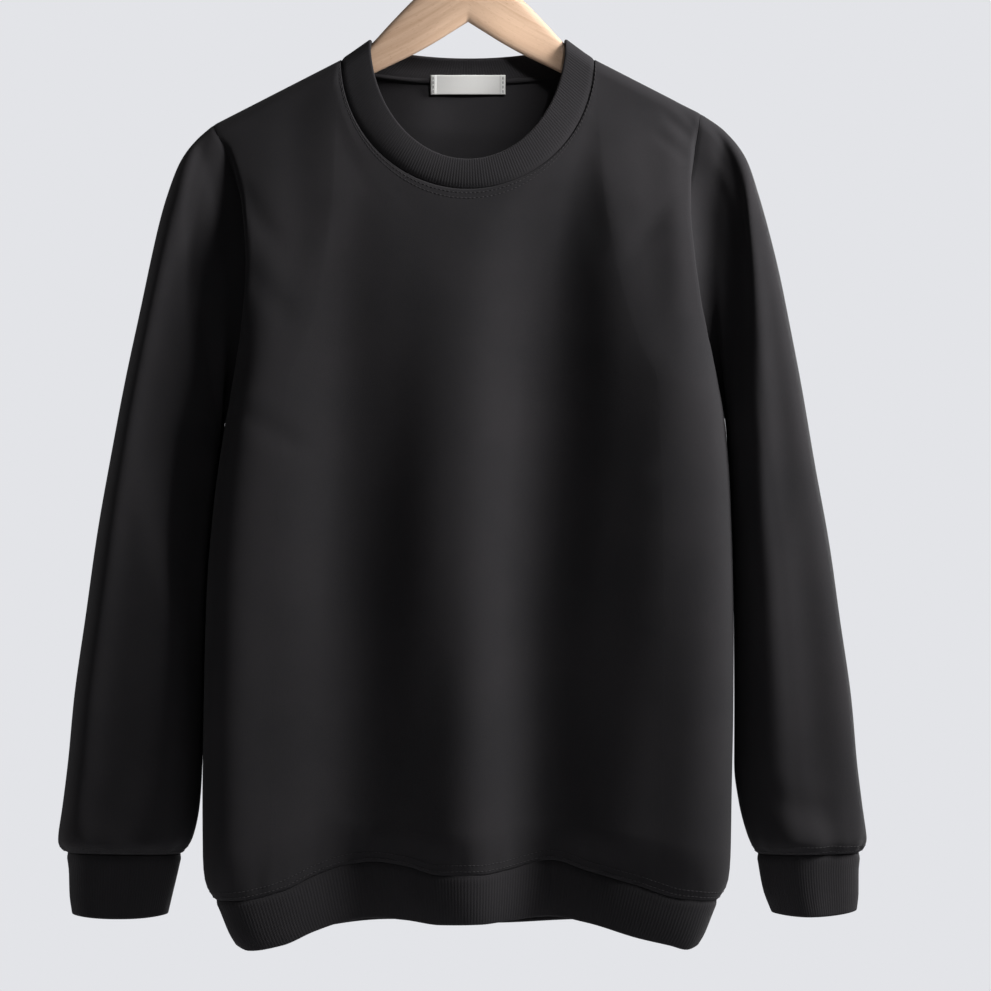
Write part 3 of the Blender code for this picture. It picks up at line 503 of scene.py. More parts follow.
def sleeve_surface(t, place, hand):
    """Ovals down the sleeve, pulled onto the armhole at the top, with folds added."""
    t, place = on_one_grid(t, place)
    table = SLEEVES[hand]
    squarer = 1.0 - smooth_step(SQUARE_TO_ROW, CUFF_ROW, t)
    squareness = CUFF_SQUARENESS + (SLEEVE_FRONT_SQUARENESS - CUFF_SQUARENESS) * squarer
    points = ring_points(table, t, place, squareness)
    start = ring_points(table, np.zeros_like(t), place, squareness)
    fade = 1.0 - smooth_step(0.0, CAP_END, t)
    points = points + (armhole_loop(place, hand) - start) * fade[..., None]
    kept = look_up(SLEEVE_FRONT, 1 if hand < 0 else 2, t)
    points[..., 1] *= np.where(points[..., 1] < 0.0, kept, 1.0)
    add_folds(points, t, place, hand)
    return points


def cuff_surface(t, place, hand):
    """Ovals down the cuff with the sleeve's last folds; the edges sag by sine squared."""
    t, place = on_one_grid(t, place)
    points = ring_points(CUFFS[hand], t, place, CUFF_SQUARENESS)
    add_folds(points, np.full_like(t, CUFF_ROW), place, hand)
    points[..., 2] -= CUFF_SAG * t / (len(CUFFS[hand]) - 1) * np.sin(2 * np.pi * place) ** 2
    return points


print("sleeve folds:", {hand: len(folds) for hand, folds in SLEEVE_FOLDS.items()})

# %% [markdown]
# ## Grids
# The rows and columns lie close where the cloth bends sharply: over the hanger's arms
# and beside every seam, where two edges roll in and make a groove.

# %% Rows and columns
SEAM_STEPS = np.array([0.0, 0.006, 0.014, 0.026, 0.042, 0.064])
SEAM_ZONE = 0.09


def eased_to_seam(steps):
    """Places 0 to 1 with the seam's fine steps at the end."""
    plain = np.linspace(0.0, 1.0 - SEAM_ZONE, steps - len(SEAM_STEPS) + 1)
    return np.concatenate([plain, 1.0 - SEAM_STEPS[::-1]])


NECK_COLUMNS = 120
SHOULDER_COLUMNS = 30
TOP_ROWS = 76
LOW_ROWS = 84
# The neck's columns follow a sine, cut off at this share so that its ends don't crowd.
NECK_SINE_SHARE = 0.85
neck_places = np.sin(np.linspace(-1.0, 1.0, NECK_COLUMNS + 1) * np.pi / 2 * NECK_SINE_SHARE)
neck_places = neck_places / neck_places[-1]
shoulder_places = eased_to_seam(SHOULDER_COLUMNS)
shoulder_u = NECK_SHARE + (1.0 - NECK_SHARE) * shoulder_places
panel_u = np.concatenate([-shoulder_u[:0:-1], NECK_SHARE * neck_places, shoulder_u[1:]])
FIRST_NECK = SHOULDER_COLUMNS
LAST_NECK = SHOULDER_COLUMNS + NECK_COLUMNS
NECK = slice(FIRST_NECK, LAST_NECK + 1)
SIDE_COLUMN = {-1: 0, 1: -1}
top_s = np.arange(TOP_ROWS + 1) / TOP_ROWS
low_v = UNDERARM + (1.0 - UNDERARM) * eased_to_seam(LOW_ROWS)[1:]
neck_part = (1.0 - smooth_step(0.8 * NECK_SHARE, NECK_SHARE, np.abs(panel_u)))[None, :]
panel_v = shoulder_rows(top_s)[:, None] * (1.0 - neck_part)
panel_v = panel_v + neck_rows(top_s)[:, None] * neck_part
panel_v = np.concatenate([panel_v, np.repeat(low_v[:, None], len(panel_u), axis=1)])
print("panel grid:", panel_v.shape)

# %% [markdown]
# ## Thin walls
# Cloth is a wall, so each piece is an outer grid, an inner grid set in along the
# normals, and a rim that joins them. Writing both faces in one array gives exact
# control at the seams, where a Solidify modifier would open or cross the edges.


# %% Wall tools
def grid_normals(points, outward, closed=False):
    """Cross product of the grid's two directions, turned outward."""
    if closed:
        across = np.roll(points, -1, axis=1) - np.roll(points, 1, axis=1)
    else:
        across = np.gradient(points, axis=1)
    normals = unit(np.cross(across, np.gradient(points, axis=0)))
    return normals * (1.0 if np.sum(normals * outward) > 0 else -1.0)


def distance_from_row(points, row):
    """Length along each column from the first or the last row."""
    steps = np.linalg.norm(np.diff(points, axis=0), axis=-1)
    total = np.concatenate([np.zeros((1, points.shape[1])), np.cumsum(steps, axis=0)])
    return total if row == 0 else total[-1:] - total


def distance_from_column(points, column):
    """Length along each row from the first or the last column."""
    return distance_from_row(np.swapaxes(points, 0, 1), column).T


def seam_roll(distance, depth=1.1):
    """Groove beside a seam: deepest at the seam, gone 6 mm away, with a faint rim."""
    return depth * (np.exp(-(distance / 2.2) ** 2) - 0.2 * np.exp(-((distance - 4.5) / 2.5) ** 2))


def strip_faces(number):
    """Quads of a grid of vertex numbers."""
    corners = [number[:-1, :-1], number[:-1, 1:], number[1:, 1:], number[1:, :-1]]
    return np.stack(corners, axis=-1).reshape(-1, 4)


def wrapped(grid):
    """The grid with its first column repeated at the end, to close a ring."""
    return np.concatenate([grid, grid[:, :1]], axis=1)


def wall_faces(outer, inner, closed, folded_end):
    """Outer quads, inner quads turned round, and rims; a folded end shares its row."""
    rims = [(inner[0], outer[0])]
    if not folded_end:
        rims.append((outer[-1], inner[-1]))
    if not closed:
        rims += [(outer[:, 0], inner[:, 0]), (inner[:, -1], outer[:, -1])]
    faces = [strip_faces(outer), strip_faces(inner)[:, ::-1]]
    return np.concatenate(faces + [strip_faces(np.stack(rim)) for rim in rims])


def make_mesh(name, points, face_sets, uv=None, uv_sets=None):
    """Writes arrays into a mesh in metres, faces outward, with a UV map in metres."""
    points = points.reshape(-1, 3) * MM
    volume = 0.0
    for faces in face_sets:
        for last in range(2, faces.shape[1]):
            corner = points[faces[:, [0, last - 1, last]]]
            volume += np.sum(corner[:, 0] * np.cross(corner[:, 1], corner[:, 2]))
    order = 1 if volume > 0 else -1
    numbers = np.concatenate([faces[:, ::order].ravel() for faces in face_sets])
    sizes = np.concatenate([np.full(len(faces), faces.shape[1]) for faces in face_sets])
    mesh = bpy.data.meshes.new(name)
    mesh.vertices.add(len(points))
    mesh.vertices.foreach_set("co", points.ravel())
    mesh.loops.add(len(numbers))
    mesh.loops.foreach_set("vertex_index", numbers)
    mesh.polygons.add(len(sizes))
    mesh.polygons.foreach_set("loop_start", np.cumsum(sizes) - sizes)
    mesh.polygons.foreach_set("use_smooth", np.ones(len(sizes), bool))
    if uv is not None:
        places = np.concatenate([faces[:, ::order].ravel() for faces in uv_sets])
        layer = mesh.uv_layers.new(name="cloth")
        layer.data.foreach_set("uv", (uv.reshape(-1, 2)[places] * MM).ravel())
    mesh.update(calc_edges=True)
    made = bpy.data.objects.new(name, mesh)
    bpy.context.scene.collection.objects.link(made)
    return made


def cloth_uv(points):
    """Millimetres along the rows, measured from the middle, and down the columns."""
    across = distance_from_column(points, 0)
    across = across - across[:, across.shape[1] // 2][:, None]
    return np.stack([across, -distance_from_row(points, 0)], axis=-1)


def make_wall(name, outer, inner, closed=False, folded_end=False):
    """A closed thin body between an outer and an inner grid."""
    if closed:
        half = outer.shape[1] // 2
        outer, inner = np.roll(outer, half, axis=1), np.roll(inner, half, axis=1)
    number = np.arange(outer.size // 3).reshape(outer.shape[:2])
    behind = number + number.size
    points = np.concatenate([outer.reshape(-1, 3), inner.reshape(-1, 3)])
    if folded_end:
        points = points[:len(points) - outer.shape[1]]
        behind[-1] = number[-1]
    if closed:
        outer, number, behind = wrapped(outer), wrapped(number), wrapped(behind)
    place = np.arange(number.size).reshape(number.shape)
    faces = wall_faces(number, behind, closed, folded_end)
    uv_faces = wall_faces(place, place, closed, folded_end)
    return make_mesh(name, points, [faces], cloth_uv(outer), [uv_faces])


pieces = {}

# %% [markdown]
# ## Seam directions
# Two sewn pieces share the direction in which their thickness runs along the seam. It
# is the mean of their own normals, so the walls stay side by side and never cross.


# %% Shared seam directions
def shoulder_normal(hand):
    return unit(np.array([hand * SHOULDER_SLOPE, 0.0, 1.0]))


def raw_panel(side):
    points = panel_surface(panel_u[None, :], panel_v, side)
    return points, grid_normals(points, np.array([0.0, -side, 0.0]))


SLEEVE_T = np.concatenate([
    np.array([0.0, 0.03, 0.07, 0.13, 0.2, 0.3]), np.linspace(0.42, 11.6, 92),
    np.array([11.75, 11.9, 12.05, 12.2, 12.35, 12.5, 12.6, 12.7, 12.8, 12.87, 12.93, 12.97, 13.0]),
])
sleeve_place = np.arange(2 * TOP_ROWS) / (2 * TOP_ROWS)


def raw_sleeve(hand):
    points = sleeve_surface(SLEEVE_T[:, None], sleeve_place[None, :], hand)
    middle = points.mean(axis=1, keepdims=True)
    return points, grid_normals(points, points - middle, closed=True)


def ring_half(ring, side):
    """Front or back half of a ring, from its top to the underarm."""
    if side > 0:
        return ring[:TOP_ROWS + 1]
    return np.concatenate([ring[:1], ring[:TOP_ROWS - 1:-1]])


panels = {side: raw_panel(side) for side in (1, -1)}
sleeves = {hand: raw_sleeve(hand) for hand in (-1, 1)}
armhole = {}
for hand in (-1, 1):
    for side in (1, -1):
        body = panels[side][1][:TOP_ROWS + 1, SIDE_COLUMN[hand]]
        mixed = unit(body + ring_half(sleeves[hand][1][0], side))
        mixed[0] = shoulder_normal(hand)
        mixed[-1] = unit(np.array([hand * UNDERARM_TURN, 0.0, -1.0]))
        armhole[hand, side] = mixed
print("seam directions:", len(armhole))

# %% [markdown]
# ## Small relief
# Between the broad folds real fleece shows shallow dents, short drag lines that start
# at the seams, and little gathers where the rib draws the hem in. Sines at odd lengths
# and slants, added up, give dents that never repeat visibly and need no random numbers.

# %% Dents, drags and gathers
DENTS = [
    # wave across, wave down, phase, height, all in mm
    (97, 530, 0.4, 0.45), (-61, 410, 1.9, 0.28), (139, -240, 3.1, 0.40),
    (47, -690, 5, 0.16), (-310, 131, 2.2, 0.22),
]
# Creases: start x, z, end x, z, half width, lift, in mm.
FRONT_CREASES = [
    (166, -178, 186, -196, 4, -0.9), (158, -186, 180, -206, 4.5, -1),
    (150, -200, 176, -222, 5, -0.8), (172, -240, 128, -300, 9, -1.2),
    (-188, -236, -150, -292, 9, -1.2), (-184, -300, -140, -350, 10, -1),
    (186, -330, 150, -372, 10, -1), (-96, -236, -120, -300, 12, 0.8),
    (104, -216, 118, -290, 10, 0.9), (-186, -420, -130, -452, 9, -0.9),
    (196, -430, 150, -470, 9, -0.8), (-110, -744, -60, -768, 8, 0.8),
    (40, -752, 96, -764, 8, 0.8),
]
BACK_CREASES = [
    (-176, -240, -120, -300, 9, -1.2), (180, -236, 132, -290, 9, -1.2),
    (-180, -340, -130, -384, 10, -1), (188, -350, 150, -390, 10, -1),
    (-60, -196, 60, -200, 9, -0.7), (-190, -430, -140, -460, 9, -0.8),
    (196, -440, 150, -470, 9, -0.8),
]


# How far the armhole seam sinks, by hand and side, and the widths that it pulls down in
# the body and in the sleeve, by hand, all in mm.
ARMHOLE_SINK = {(-1, 1): 11.5, (-1, -1): 6.0, (1, 1): 14.0, (1, -1): 6.0}
SINK_WIDTHS = {-1: (3.5, 30.0), 1: (3.5, 31.0)}
IN_BODY = 0
IN_SLEEVE = 1


def armhole_sink(distance, s, hand, side, piece):
    """A bell down from the armhole seam; s runs from the shoulder to the underarm."""
    shown = smooth_step(0.15, 0.55, s) * (1.0 - smooth_step(0.85, 1.0, s))
    width = SINK_WIDTHS[hand][piece] * (0.7 + 0.3 * smooth_step(0.3, 0.75, s))
    return ARMHOLE_SINK[hand, side] * shown * np.exp(-(distance / width) ** 2)


def dents(x, z):
    """Sum of sines of x over one length plus z over another."""
    total = np.zeros(np.broadcast(x, z).shape)
    for across, down, phase, height in DENTS:
        total = total + height * np.sin(2 * np.pi * (x / across + z / down) + phase)
    return total


def creases(table, x, z):
    """Short soft lines: a bell across each line, faded along it towards both ends."""
    total = np.zeros(np.broadcast(x, z).shape)
    for x0, z0, x1, z1, width, lift in table:
        length = math.hypot(x1 - x0, z1 - z0)
        ax, az = (x1 - x0) / length, (z1 - z0) / length
        along = ((x - x0) * ax + (z - z0) * az) / length
        across = (x - x0) * az - (z - z0) * ax
        shown = smooth_step(-0.25, 0.3, along) * (1.0 - smooth_step(0.7, 1.25, along))
        total = total + lift * shown * np.exp(-(across / width) ** 2)
    return total


GATHER_HEIGHT = 0.55
GATHER_FADE = 16.0


def hem_gathers(x, distance):
    """Two sines of x times a slow third, faded by an exponential above the hem seam."""
    ripple = np.sin(2 * np.pi * x / 23.0) + 0.6 * np.sin(2 * np.pi * x / 14.3 + 1.3)
    ripple = ripple * (0.6 + 0.4 * np.sin(2 * np.pi * x / 97.0 + 0.5))
    shown = np.exp(-distance / GATHER_FADE) * smooth_step(0.0, 5.0, distance)
    return GATHER_HEIGHT * ripple * shown


# %% [markdown]
# ## Front and back
# The relief is added along the normals, the seams roll in, and each edge stops half a
# seam gap short of its neighbour.


# %% Make the body panels
def open_gap(points, rows=(), columns=(), closed=False):
    """Shift of half a seam gap into the piece, square to each named edge."""
    shift = np.zeros_like(points)
    for row in rows:
        inward = points[1 if row == 0 else -2] - points[row]
        if closed:
            along = unit(np.roll(points[row], -1, axis=0) - np.roll(points[row], 1, axis=0))
        else:
            along = unit(np.gradient(points[row], axis=0))
        inward = inward - np.sum(inward * along, axis=-1, keepdims=True) * along
        shift[row] += unit(inward) * SEAM_GAP / 2
    for column in columns:
        turned = open_gap(np.swapaxes(points, 0, 1), rows=(column,))
        shift += np.swapaxes(turned, 0, 1)
    return shift


def smoothed(field, passes):
    """Repeated mean of each value and its four neighbours, edges kept."""
    for _ in range(passes):
        field[1:-1, 1:-1] = (
            2.0 * field[1:-1, 1:-1] + field[:-2, 1:-1] + field[2:, 1:-1]
            + field[1:-1, :-2] + field[1:-1, 2:]
        ) / 6.0
    return field


# Rows of the neckband, close at the seam and round the fold, and the seam rolls' depth
# where the cloth lies smooth.
BAND_R = np.array([
    0.0, 0.04, 0.1, 0.2, 0.32, 0.45, 0.58, 0.7, 0.8, 0.87, 0.92, 0.955, 0.98, 0.993, 1.0,
])
SOFT_ROLL = 0.4


def panel_walls(side):
    points, normals = panels[side]
    band = band_surface(np.pi / 2 * neck_places[None, :], BAND_R[:, None], side)
    band_normals = grid_normals(band, np.array([0.0, -side, 0.3]))
    normals = normals.copy()
    normals[0, NECK] = unit(normals[0, NECK] + band_normals[0])
    normals[0, :FIRST_NECK + 1] = shoulder_normal(-1)
    normals[0, LAST_NECK:] = shoulder_normal(1)
    for hand, column in SIDE_COLUMN.items():
        normals[TOP_ROWS:, column, 1] = 0.0
        normals[:TOP_ROWS + 1, column] = armhole[hand, side]
    normals = unit(smoothed(unit(normals), 2))
    x, z = points[..., 0], points[..., 2]
    to_neck = distance_from_row(points, 0)
    to_hem = distance_from_row(points, -1)
    to_side = np.minimum(distance_from_column(points, 0), distance_from_column(points, -1))
    calm = smooth_step(2.0, 30.0, to_neck) * smooth_step(2.0, 30.0, to_hem)
    calm = calm * smooth_step(12.0, 60.0, to_side)
    relief = dents(x, z + 300.0 * side) * calm
    table = FRONT_CREASES if side > 0 else BACK_CREASES
    relief = relief + creases(table, x, z) * smooth_step(0.0, 8.0, to_side)
    relief = relief + hem_gathers(x, to_hem)
    seams = np.maximum(seam_roll(to_neck, SOFT_ROLL), seam_roll(to_hem))
    seams = np.maximum(seams, seam_roll(to_side, SOFT_ROLL))
    s = np.concatenate([top_s, np.ones(len(low_v))])[:, None]
    for hand, column in SIDE_COLUMN.items():
        to_armhole = distance_from_column(points, column)
        relief = relief - armhole_sink(to_armhole, s, hand, side, IN_BODY)
    outer = points + normals * (relief - seams)[..., None]
    outer = outer + open_gap(outer, rows=(0, -1), columns=(0, -1))
    return outer, normals


panel_outer = {}
for name, side in (("front_panel", 1), ("back_panel", -1)):
    outer, normals = panel_walls(side)
    panel_outer[side] = (outer, normals)
    pieces[name] = make_wall(name, outer, outer - normals * CLOTH_WALL)
    print(name, len(pieces[name].data.polygons), "faces")

# %% [markdown]
# ## Rib bands
# Rib knit is folded double for the neckband, hem band and cuffs: two layers with a
# round fold along the free edge. Its upright wales are real ridges here, four columns
# to a wale, because a band's outline and its fold show them where a bump would not.

# %% Rib tools
WALE_SPACING = 2.2
WALE_HEIGHT = 0.22
WALE = np.array([-0.6, 0.25, 0.6, 0.25])
LIP_REACH = (3.5, 0.4)
LIP_GAP = 0.2
LIP_WALL = 0.9


def even_places(points, places, spacing):
    """Places that lie evenly along a polyline, a whole number of wales from end to end."""
    total = length_along(points)
    wales = int(round(total[-1] / spacing))
    return np.interp(np.linspace(0.0, total[-1], wales * len(WALE) + 1), total, places)


def rib_wall(name, points, outward):
    """Double rib: half thickness a quarter circle at the fold, wales as a repeated step.

    The middle surface lies half a wall inside the given points, as the CAD's does. Two
    rows of the wall reach past the seam, behind the cloth that the rib is sewn to.
    """
    normals = grid_normals(points, outward, closed=True)
    normals = unit(smoothed(normals, 2))
    to_seam = distance_from_row(points, 0)
    to_edge = distance_from_row(points, -1)
    into_fold = np.clip(1.0 - to_edge / (RIB_WALL / 2), 0.0, 1.0)
    half = RIB_WALL / 2 * np.sqrt(1.0 - into_fold ** 2)
    half = half * (0.7 + 0.3 * smooth_step(0.0, 4.0, to_seam))
    wale = np.tile(WALE, points.shape[1] // len(WALE))[None, :] * WALE_HEIGHT
    wale = wale * smooth_step(0.0, 2.5, to_seam) * np.sqrt(half / (RIB_WALL / 2))
    dent = dents(points[..., 0] * 0.7, points[..., 2] * 1.3) * 0.5
    dent = dent * smooth_step(0.0, 9.0, to_seam)
    middle = points + normals * (dent - RIB_WALL / 2)[..., None]
    middle = middle + open_gap(points, rows=(0,), closed=True)
    outer = middle + normals * (half + wale - seam_roll(to_seam, 0.45))[..., None]
    inner = middle - normals * (half + wale)[..., None]
    back = unit(points[0] - points[1])
    behind = normals[0] * (CLOTH_WALL + LIP_GAP)
    lips = [points[0] + back * reach - behind for reach in LIP_REACH]
    inner_lips = [lip - normals[0] * LIP_WALL for lip in lips]
    outer = np.concatenate([np.stack(lips), outer])
    inner = np.concatenate([np.stack(inner_lips), inner])
    pieces[name] = make_wall(name, outer, inner, closed=True, folded_end=True)
    print(name, "wales:", points.shape[1] // len(WALE))


def join_halves(front_points, back_points):
    """Front half left to right, then back half right to left, as one closed ring."""
    points = np.concatenate([front_points[:, :-1], back_points[:, :0:-1]], axis=1)
    outward = np.zeros_like(points)
    outward[:, :front_points.shape[1] - 1, 1] = -1.0
    outward[:, front_points.shape[1] - 1:, 1] = 1.0
    outward[..., 2] = 0.3
    return points, outward


def band_halves(surface, dense, level, spacing, rows):
    """A band's ring, with columns a quarter wale apart on its line at this level."""
    halves = []
    for side in (1, -1):
        line = surface(dense, np.full(len(dense), level), side)
        places = even_places(line, dense, spacing)
        halves.append(surface(places[None, :], rows[:, None], side))
    return join_halves(*halves)


# %% Neckband and hem band
TURN_SAMPLES = 600
HEM_SAMPLES = 801
HEM_R = np.array([
    0.0, 0.02, 0.05, 0.1, 0.18, 0.28, 0.38, 0.5, 0.6, 0.7, 0.8, 0.88, 0.93, 0.96, 0.978,
    0.99, 0.997, 1.0,
])
dense_turn = np.linspace(-np.pi / 2, np.pi / 2, TURN_SAMPLES)
rib_wall("neck_rib", *band_halves(band_surface, dense_turn, 0.4, WALE_SPACING, BAND_R))
even = np.linspace(-1, 1, HEM_SAMPLES)
dense_u = np.sign(even) * (1.0 - (1.0 - np.abs(even)) ** 1.3)
points, outward = band_halves(hem_surface, dense_u, 0.5, WALE_SPACING * 1.15, HEM_R)
outward[..., 2] = 0.0
rib_wall("hem_rib", points, outward)

# %% Cuffs
CUFF_SAMPLES = 1201
CUFF_MIDDLE = 1.5
CUFF_T = 3.0 * HEM_R
for name, hand in (("cuff_rib_left", -1), ("cuff_rib_right", 1)):
    dense_place = np.linspace(0.0, 1.0, CUFF_SAMPLES)
    line = cuff_surface(np.full(CUFF_SAMPLES, CUFF_MIDDLE), dense_place, hand)
    places = even_places(line, dense_place, WALE_SPACING * 0.95)[:-1]
    points = cuff_surface(CUFF_T[:, None], places[None, :], hand)
    rib_wall(name, points, points - points.mean(axis=1, keepdims=True))

# %% [markdown]
# ## Sleeves
# The same wall tools make the sleeves. Slanted creases cross the sleeve head where it
# is eased into the armhole, and short ripples gather the cloth into the cuff.

# %% Make the sleeves
# Creases on a sleeve: start t, place, end t, place, width in places, lift in mm.
SLEEVE_BACK_CREASES = [(3.4, 0.60, 5, 0.74, 0.03, -1), (6.4, 0.84, 7.8, 0.68, 0.03, 0.9)]
SLEEVE_CREASES = {
    -1: [(0.6, 0.06, 2.4, 0.16, 0.022, -1), (0.9, 0.12, 3.2, 0.24, 0.024, -0.9),
         (3.4, 0.40, 5, 0.28, 0.03, -1), (6.2, 0.16, 7.6, 0.32, 0.03, 0.9),
         (9.6, 0.36, 10.8, 0.2, 0.03, 1), (10.9, 0.14, 11.8, 0.32, 0.03, -1.1),
         *SLEEVE_BACK_CREASES],
    1: [(0.5, 0.05, 2.2, 0.15, 0.02, -1.4), (0.7, 0.10, 2.9, 0.21, 0.022, -1.3),
        (1, 0.17, 3.4, 0.27, 0.024, -1.1), (3.6, 0.42, 5.2, 0.28, 0.03, -1),
        (6.6, 0.18, 7.8, 0.34, 0.03, 0.9), (10.6, 0.36, 11.6, 0.16, 0.032, -1.3),
        (11.2, 0.14, 12.2, 0.30, 0.03, 1.2), *SLEEVE_BACK_CREASES],
}
CREASE_STRETCH = 14.0
CUFF_GATHER_HEIGHT = 0.8
CUFF_GATHER_FADE = 14.0


def sleeve_creases(table, t, place):
    """As on the panels, with the table row and the place round the ring for a map."""
    rows = [
        (t0 / CREASE_STRETCH, p0, t1 / CREASE_STRETCH, p1, width, lift)
        for t0, p0, t1, p1, width, lift in table
    ]
    return creases(rows, t / CREASE_STRETCH, place)


sleeve_outer = {}
for name, hand in (("sleeve_cloth_left", -1), ("sleeve_cloth_right", 1)):
    points, normals = sleeves[hand]
    t, place = on_one_grid(SLEEVE_T[:, None], sleeve_place[None, :])
    normals = normals.copy()
    normals[0] = np.concatenate([armhole[hand, 1], armhole[hand, -1][-2:0:-1]])
    normals = unit(smoothed(normals, 2))
    to_armhole = distance_from_row(points, 0)
    to_cuff = distance_from_row(points, -1)
    relief = dents(points[..., 0] + 90.0 * np.sign(points[..., 1]), points[..., 2] * 1.1)
    relief = relief * smooth_step(2.0, 30.0, to_armhole) * smooth_step(2.0, 25.0, to_cuff)
    relief = relief * smooth_step(0.02, 0.16, np.abs(place - 0.5))
    relief = relief + sleeve_creases(SLEEVE_CREASES[hand], t, place)
    ripple = np.sin(2 * np.pi * 9 * place + 0.7) + 0.7 * np.sin(2 * np.pi * 14 * place)
    gathers = CUFF_GATHER_HEIGHT * ripple * np.exp(-to_cuff / CUFF_GATHER_FADE)
    relief = relief + gathers * smooth_step(0.0, 6.0, to_cuff)
    seams = np.maximum(seam_roll(to_armhole, 0.5), seam_roll(to_cuff))
    s = 1.0 - np.abs(1.0 - 2.0 * place)
    for side, half in ((1, place <= 0.5), (-1, place > 0.5)):
        relief = relief - armhole_sink(to_armhole, s, hand, side, IN_SLEEVE) * half
    outer = points + normals * (relief - seams)[..., None]
    outer = outer + open_gap(outer, rows=(0, -1), closed=True)
    sleeve_outer[hand] = (outer, normals)
    pieces[name] = make_wall(name, outer, outer - normals * CLOTH_WALL, closed=True)
    print(name, len(pieces[name].data.polygons), "faces")

# %% [markdown]
# ## Stitching
# A coverstitch machine leaves two parallel rows beside each rib seam. Each stitch is a
# short thread that dives into the cloth at both ends. All stitches of a seam are one
# mesh: a small bent capsule, repeated along a line that lies on the finished cloth.

# %% Stitch tools
STITCH_PITCH = 3.4
STITCH_LENGTH = 2.7
THREAD_RADIUS = 0.30
THREAD_SIDES = 6
# Rings along a stitch, from end to end, and their share of the thread's radius.
STITCH_RINGS = np.array([-1.0, -0.72, 0.0, 0.72, 1.0])
STITCH_GIRTH = np.array([0.35, 0.85, 1.0, 0.85, 0.35])
POINTS_PER_STITCH = len(STITCH_RINGS) * THREAD_SIDES
# Distances of the twin rows from the seam, in mm.
NECK_STITCH_ROWS = (3.2, 7.6)
RIB_STITCH_ROWS = (3.4, 8.4)


def line_beside_seam(outer, normals, row, distance):
    """Points and normals of each column where it is so far from the seam."""
    if row != 0:
        outer, normals = outer[::-1], normals[::-1]
    away = distance_from_row(outer, 0)
    after = np.maximum((away < distance).sum(axis=0), 1)[None, :]
    low = np.take_along_axis(away, after - 1, axis=0)
    high = np.take_along_axis(away, after, axis=0)
    share = ((distance - low) / (high - low))[..., None]
    spots = []
    for grid in (outer, normals):
        first = np.take_along_axis(grid, (after - 1)[..., None], axis=0)
        second = np.take_along_axis(grid, after[..., None], axis=0)
        spots.append((first + (second - first) * share)[0])
    return spots[0], unit(spots[1])


def rows_beside_seam(outer, normals, row, distances, closed=False):
    return [(*line_beside_seam(outer, normals, row, away), closed) for away in distances]


def stitches(line, normals, closed):
    """Capsules along the line: rings at five places, lifted by one minus a squared."""
    if closed:
        line = np.concatenate([line, line[:1]])
        normals = np.concatenate([normals, normals[:1]])
    total = length_along(line)
    count = int(total[-1] / STITCH_PITCH)
    middle = (np.arange(count) + 0.5) * total[-1] / count
    at = middle[:, None] + STITCH_RINGS[None, :] * STITCH_LENGTH / 2
    centre = np.stack([np.interp(at, total, line[:, axis]) for axis in range(3)], axis=-1)
    up = np.stack([np.interp(at, total, normals[:, axis]) for axis in range(3)], axis=-1)
    up = unit(up)
    ahead = unit(centre[:, -1:] - centre[:, :1])
    side = unit(np.cross(ahead, up))
    lift = (1.0 - STITCH_RINGS ** 2)[None, :, None] * THREAD_RADIUS * 0.9 - THREAD_RADIUS * 0.45
    radius = STITCH_GIRTH[None, :, None, None] * THREAD_RADIUS
    turn = (2 * np.pi * np.arange(THREAD_SIDES) / THREAD_SIDES)[None, None, :, None]
    ring = np.cos(turn) * side[:, :, None] + np.sin(turn) * up[:, :, None]
    points = (centre + up * lift)[:, :, None] + ring * radius
    number = np.arange(count * POINTS_PER_STITCH).reshape(count, len(STITCH_RINGS), THREAD_SIDES)
    turned = np.roll(number, -1, axis=2)
    quads = np.stack([number[:, :-1], turned[:, :-1], turned[:, 1:], number[:, 1:]], axis=-1)
    caps = np.concatenate([number[:, 0, ::-1], number[:, -1]])
    return points.reshape(-1, 3), quads.reshape(-1, 4), caps


def make_stitching(name, rows):
    """One mesh from several rows of stitches."""
    all_points, all_quads, all_caps, start = [], [], [], 0
    for line, normals, closed in rows:
        points, quads, caps = stitches(line, normals, closed)
        all_points.append(points)
        all_quads.append(quads + start)
        all_caps.append(caps + start)
        start += len(points)
    faces = [np.concatenate(all_quads), np.concatenate(all_caps)]
    pieces[name] = make_mesh(name, np.concatenate(all_points), faces)
    print(name, start // POINTS_PER_STITCH, "stitches")


# %% Sew the seams
neck_lines = []
hem_lines = []
for outer, normals in panel_outer.values():
    neck_lines += rows_beside_seam(outer[:, NECK], normals[:, NECK], 0, NECK_STITCH_ROWS)
    hem_lines += rows_beside_seam(outer, normals, -1, RIB_STITCH_ROWS)
make_stitching("neck_stitching", neck_lines)
make_stitching("hem_stitching", hem_lines)
for label, hand in (("left", -1), ("right", 1)):
    lines = rows_beside_seam(*sleeve_outer[hand], -1, RIB_STITCH_ROWS, closed=True)
    make_stitching("cuff_stitching_" + label, lines)

# %% [markdown]
# ## Neck label
# A narrow woven label is sewn over the back neck seam by its two turned ends. It stays
# blank. It hangs flat, so its depth changes down the label but not across it.

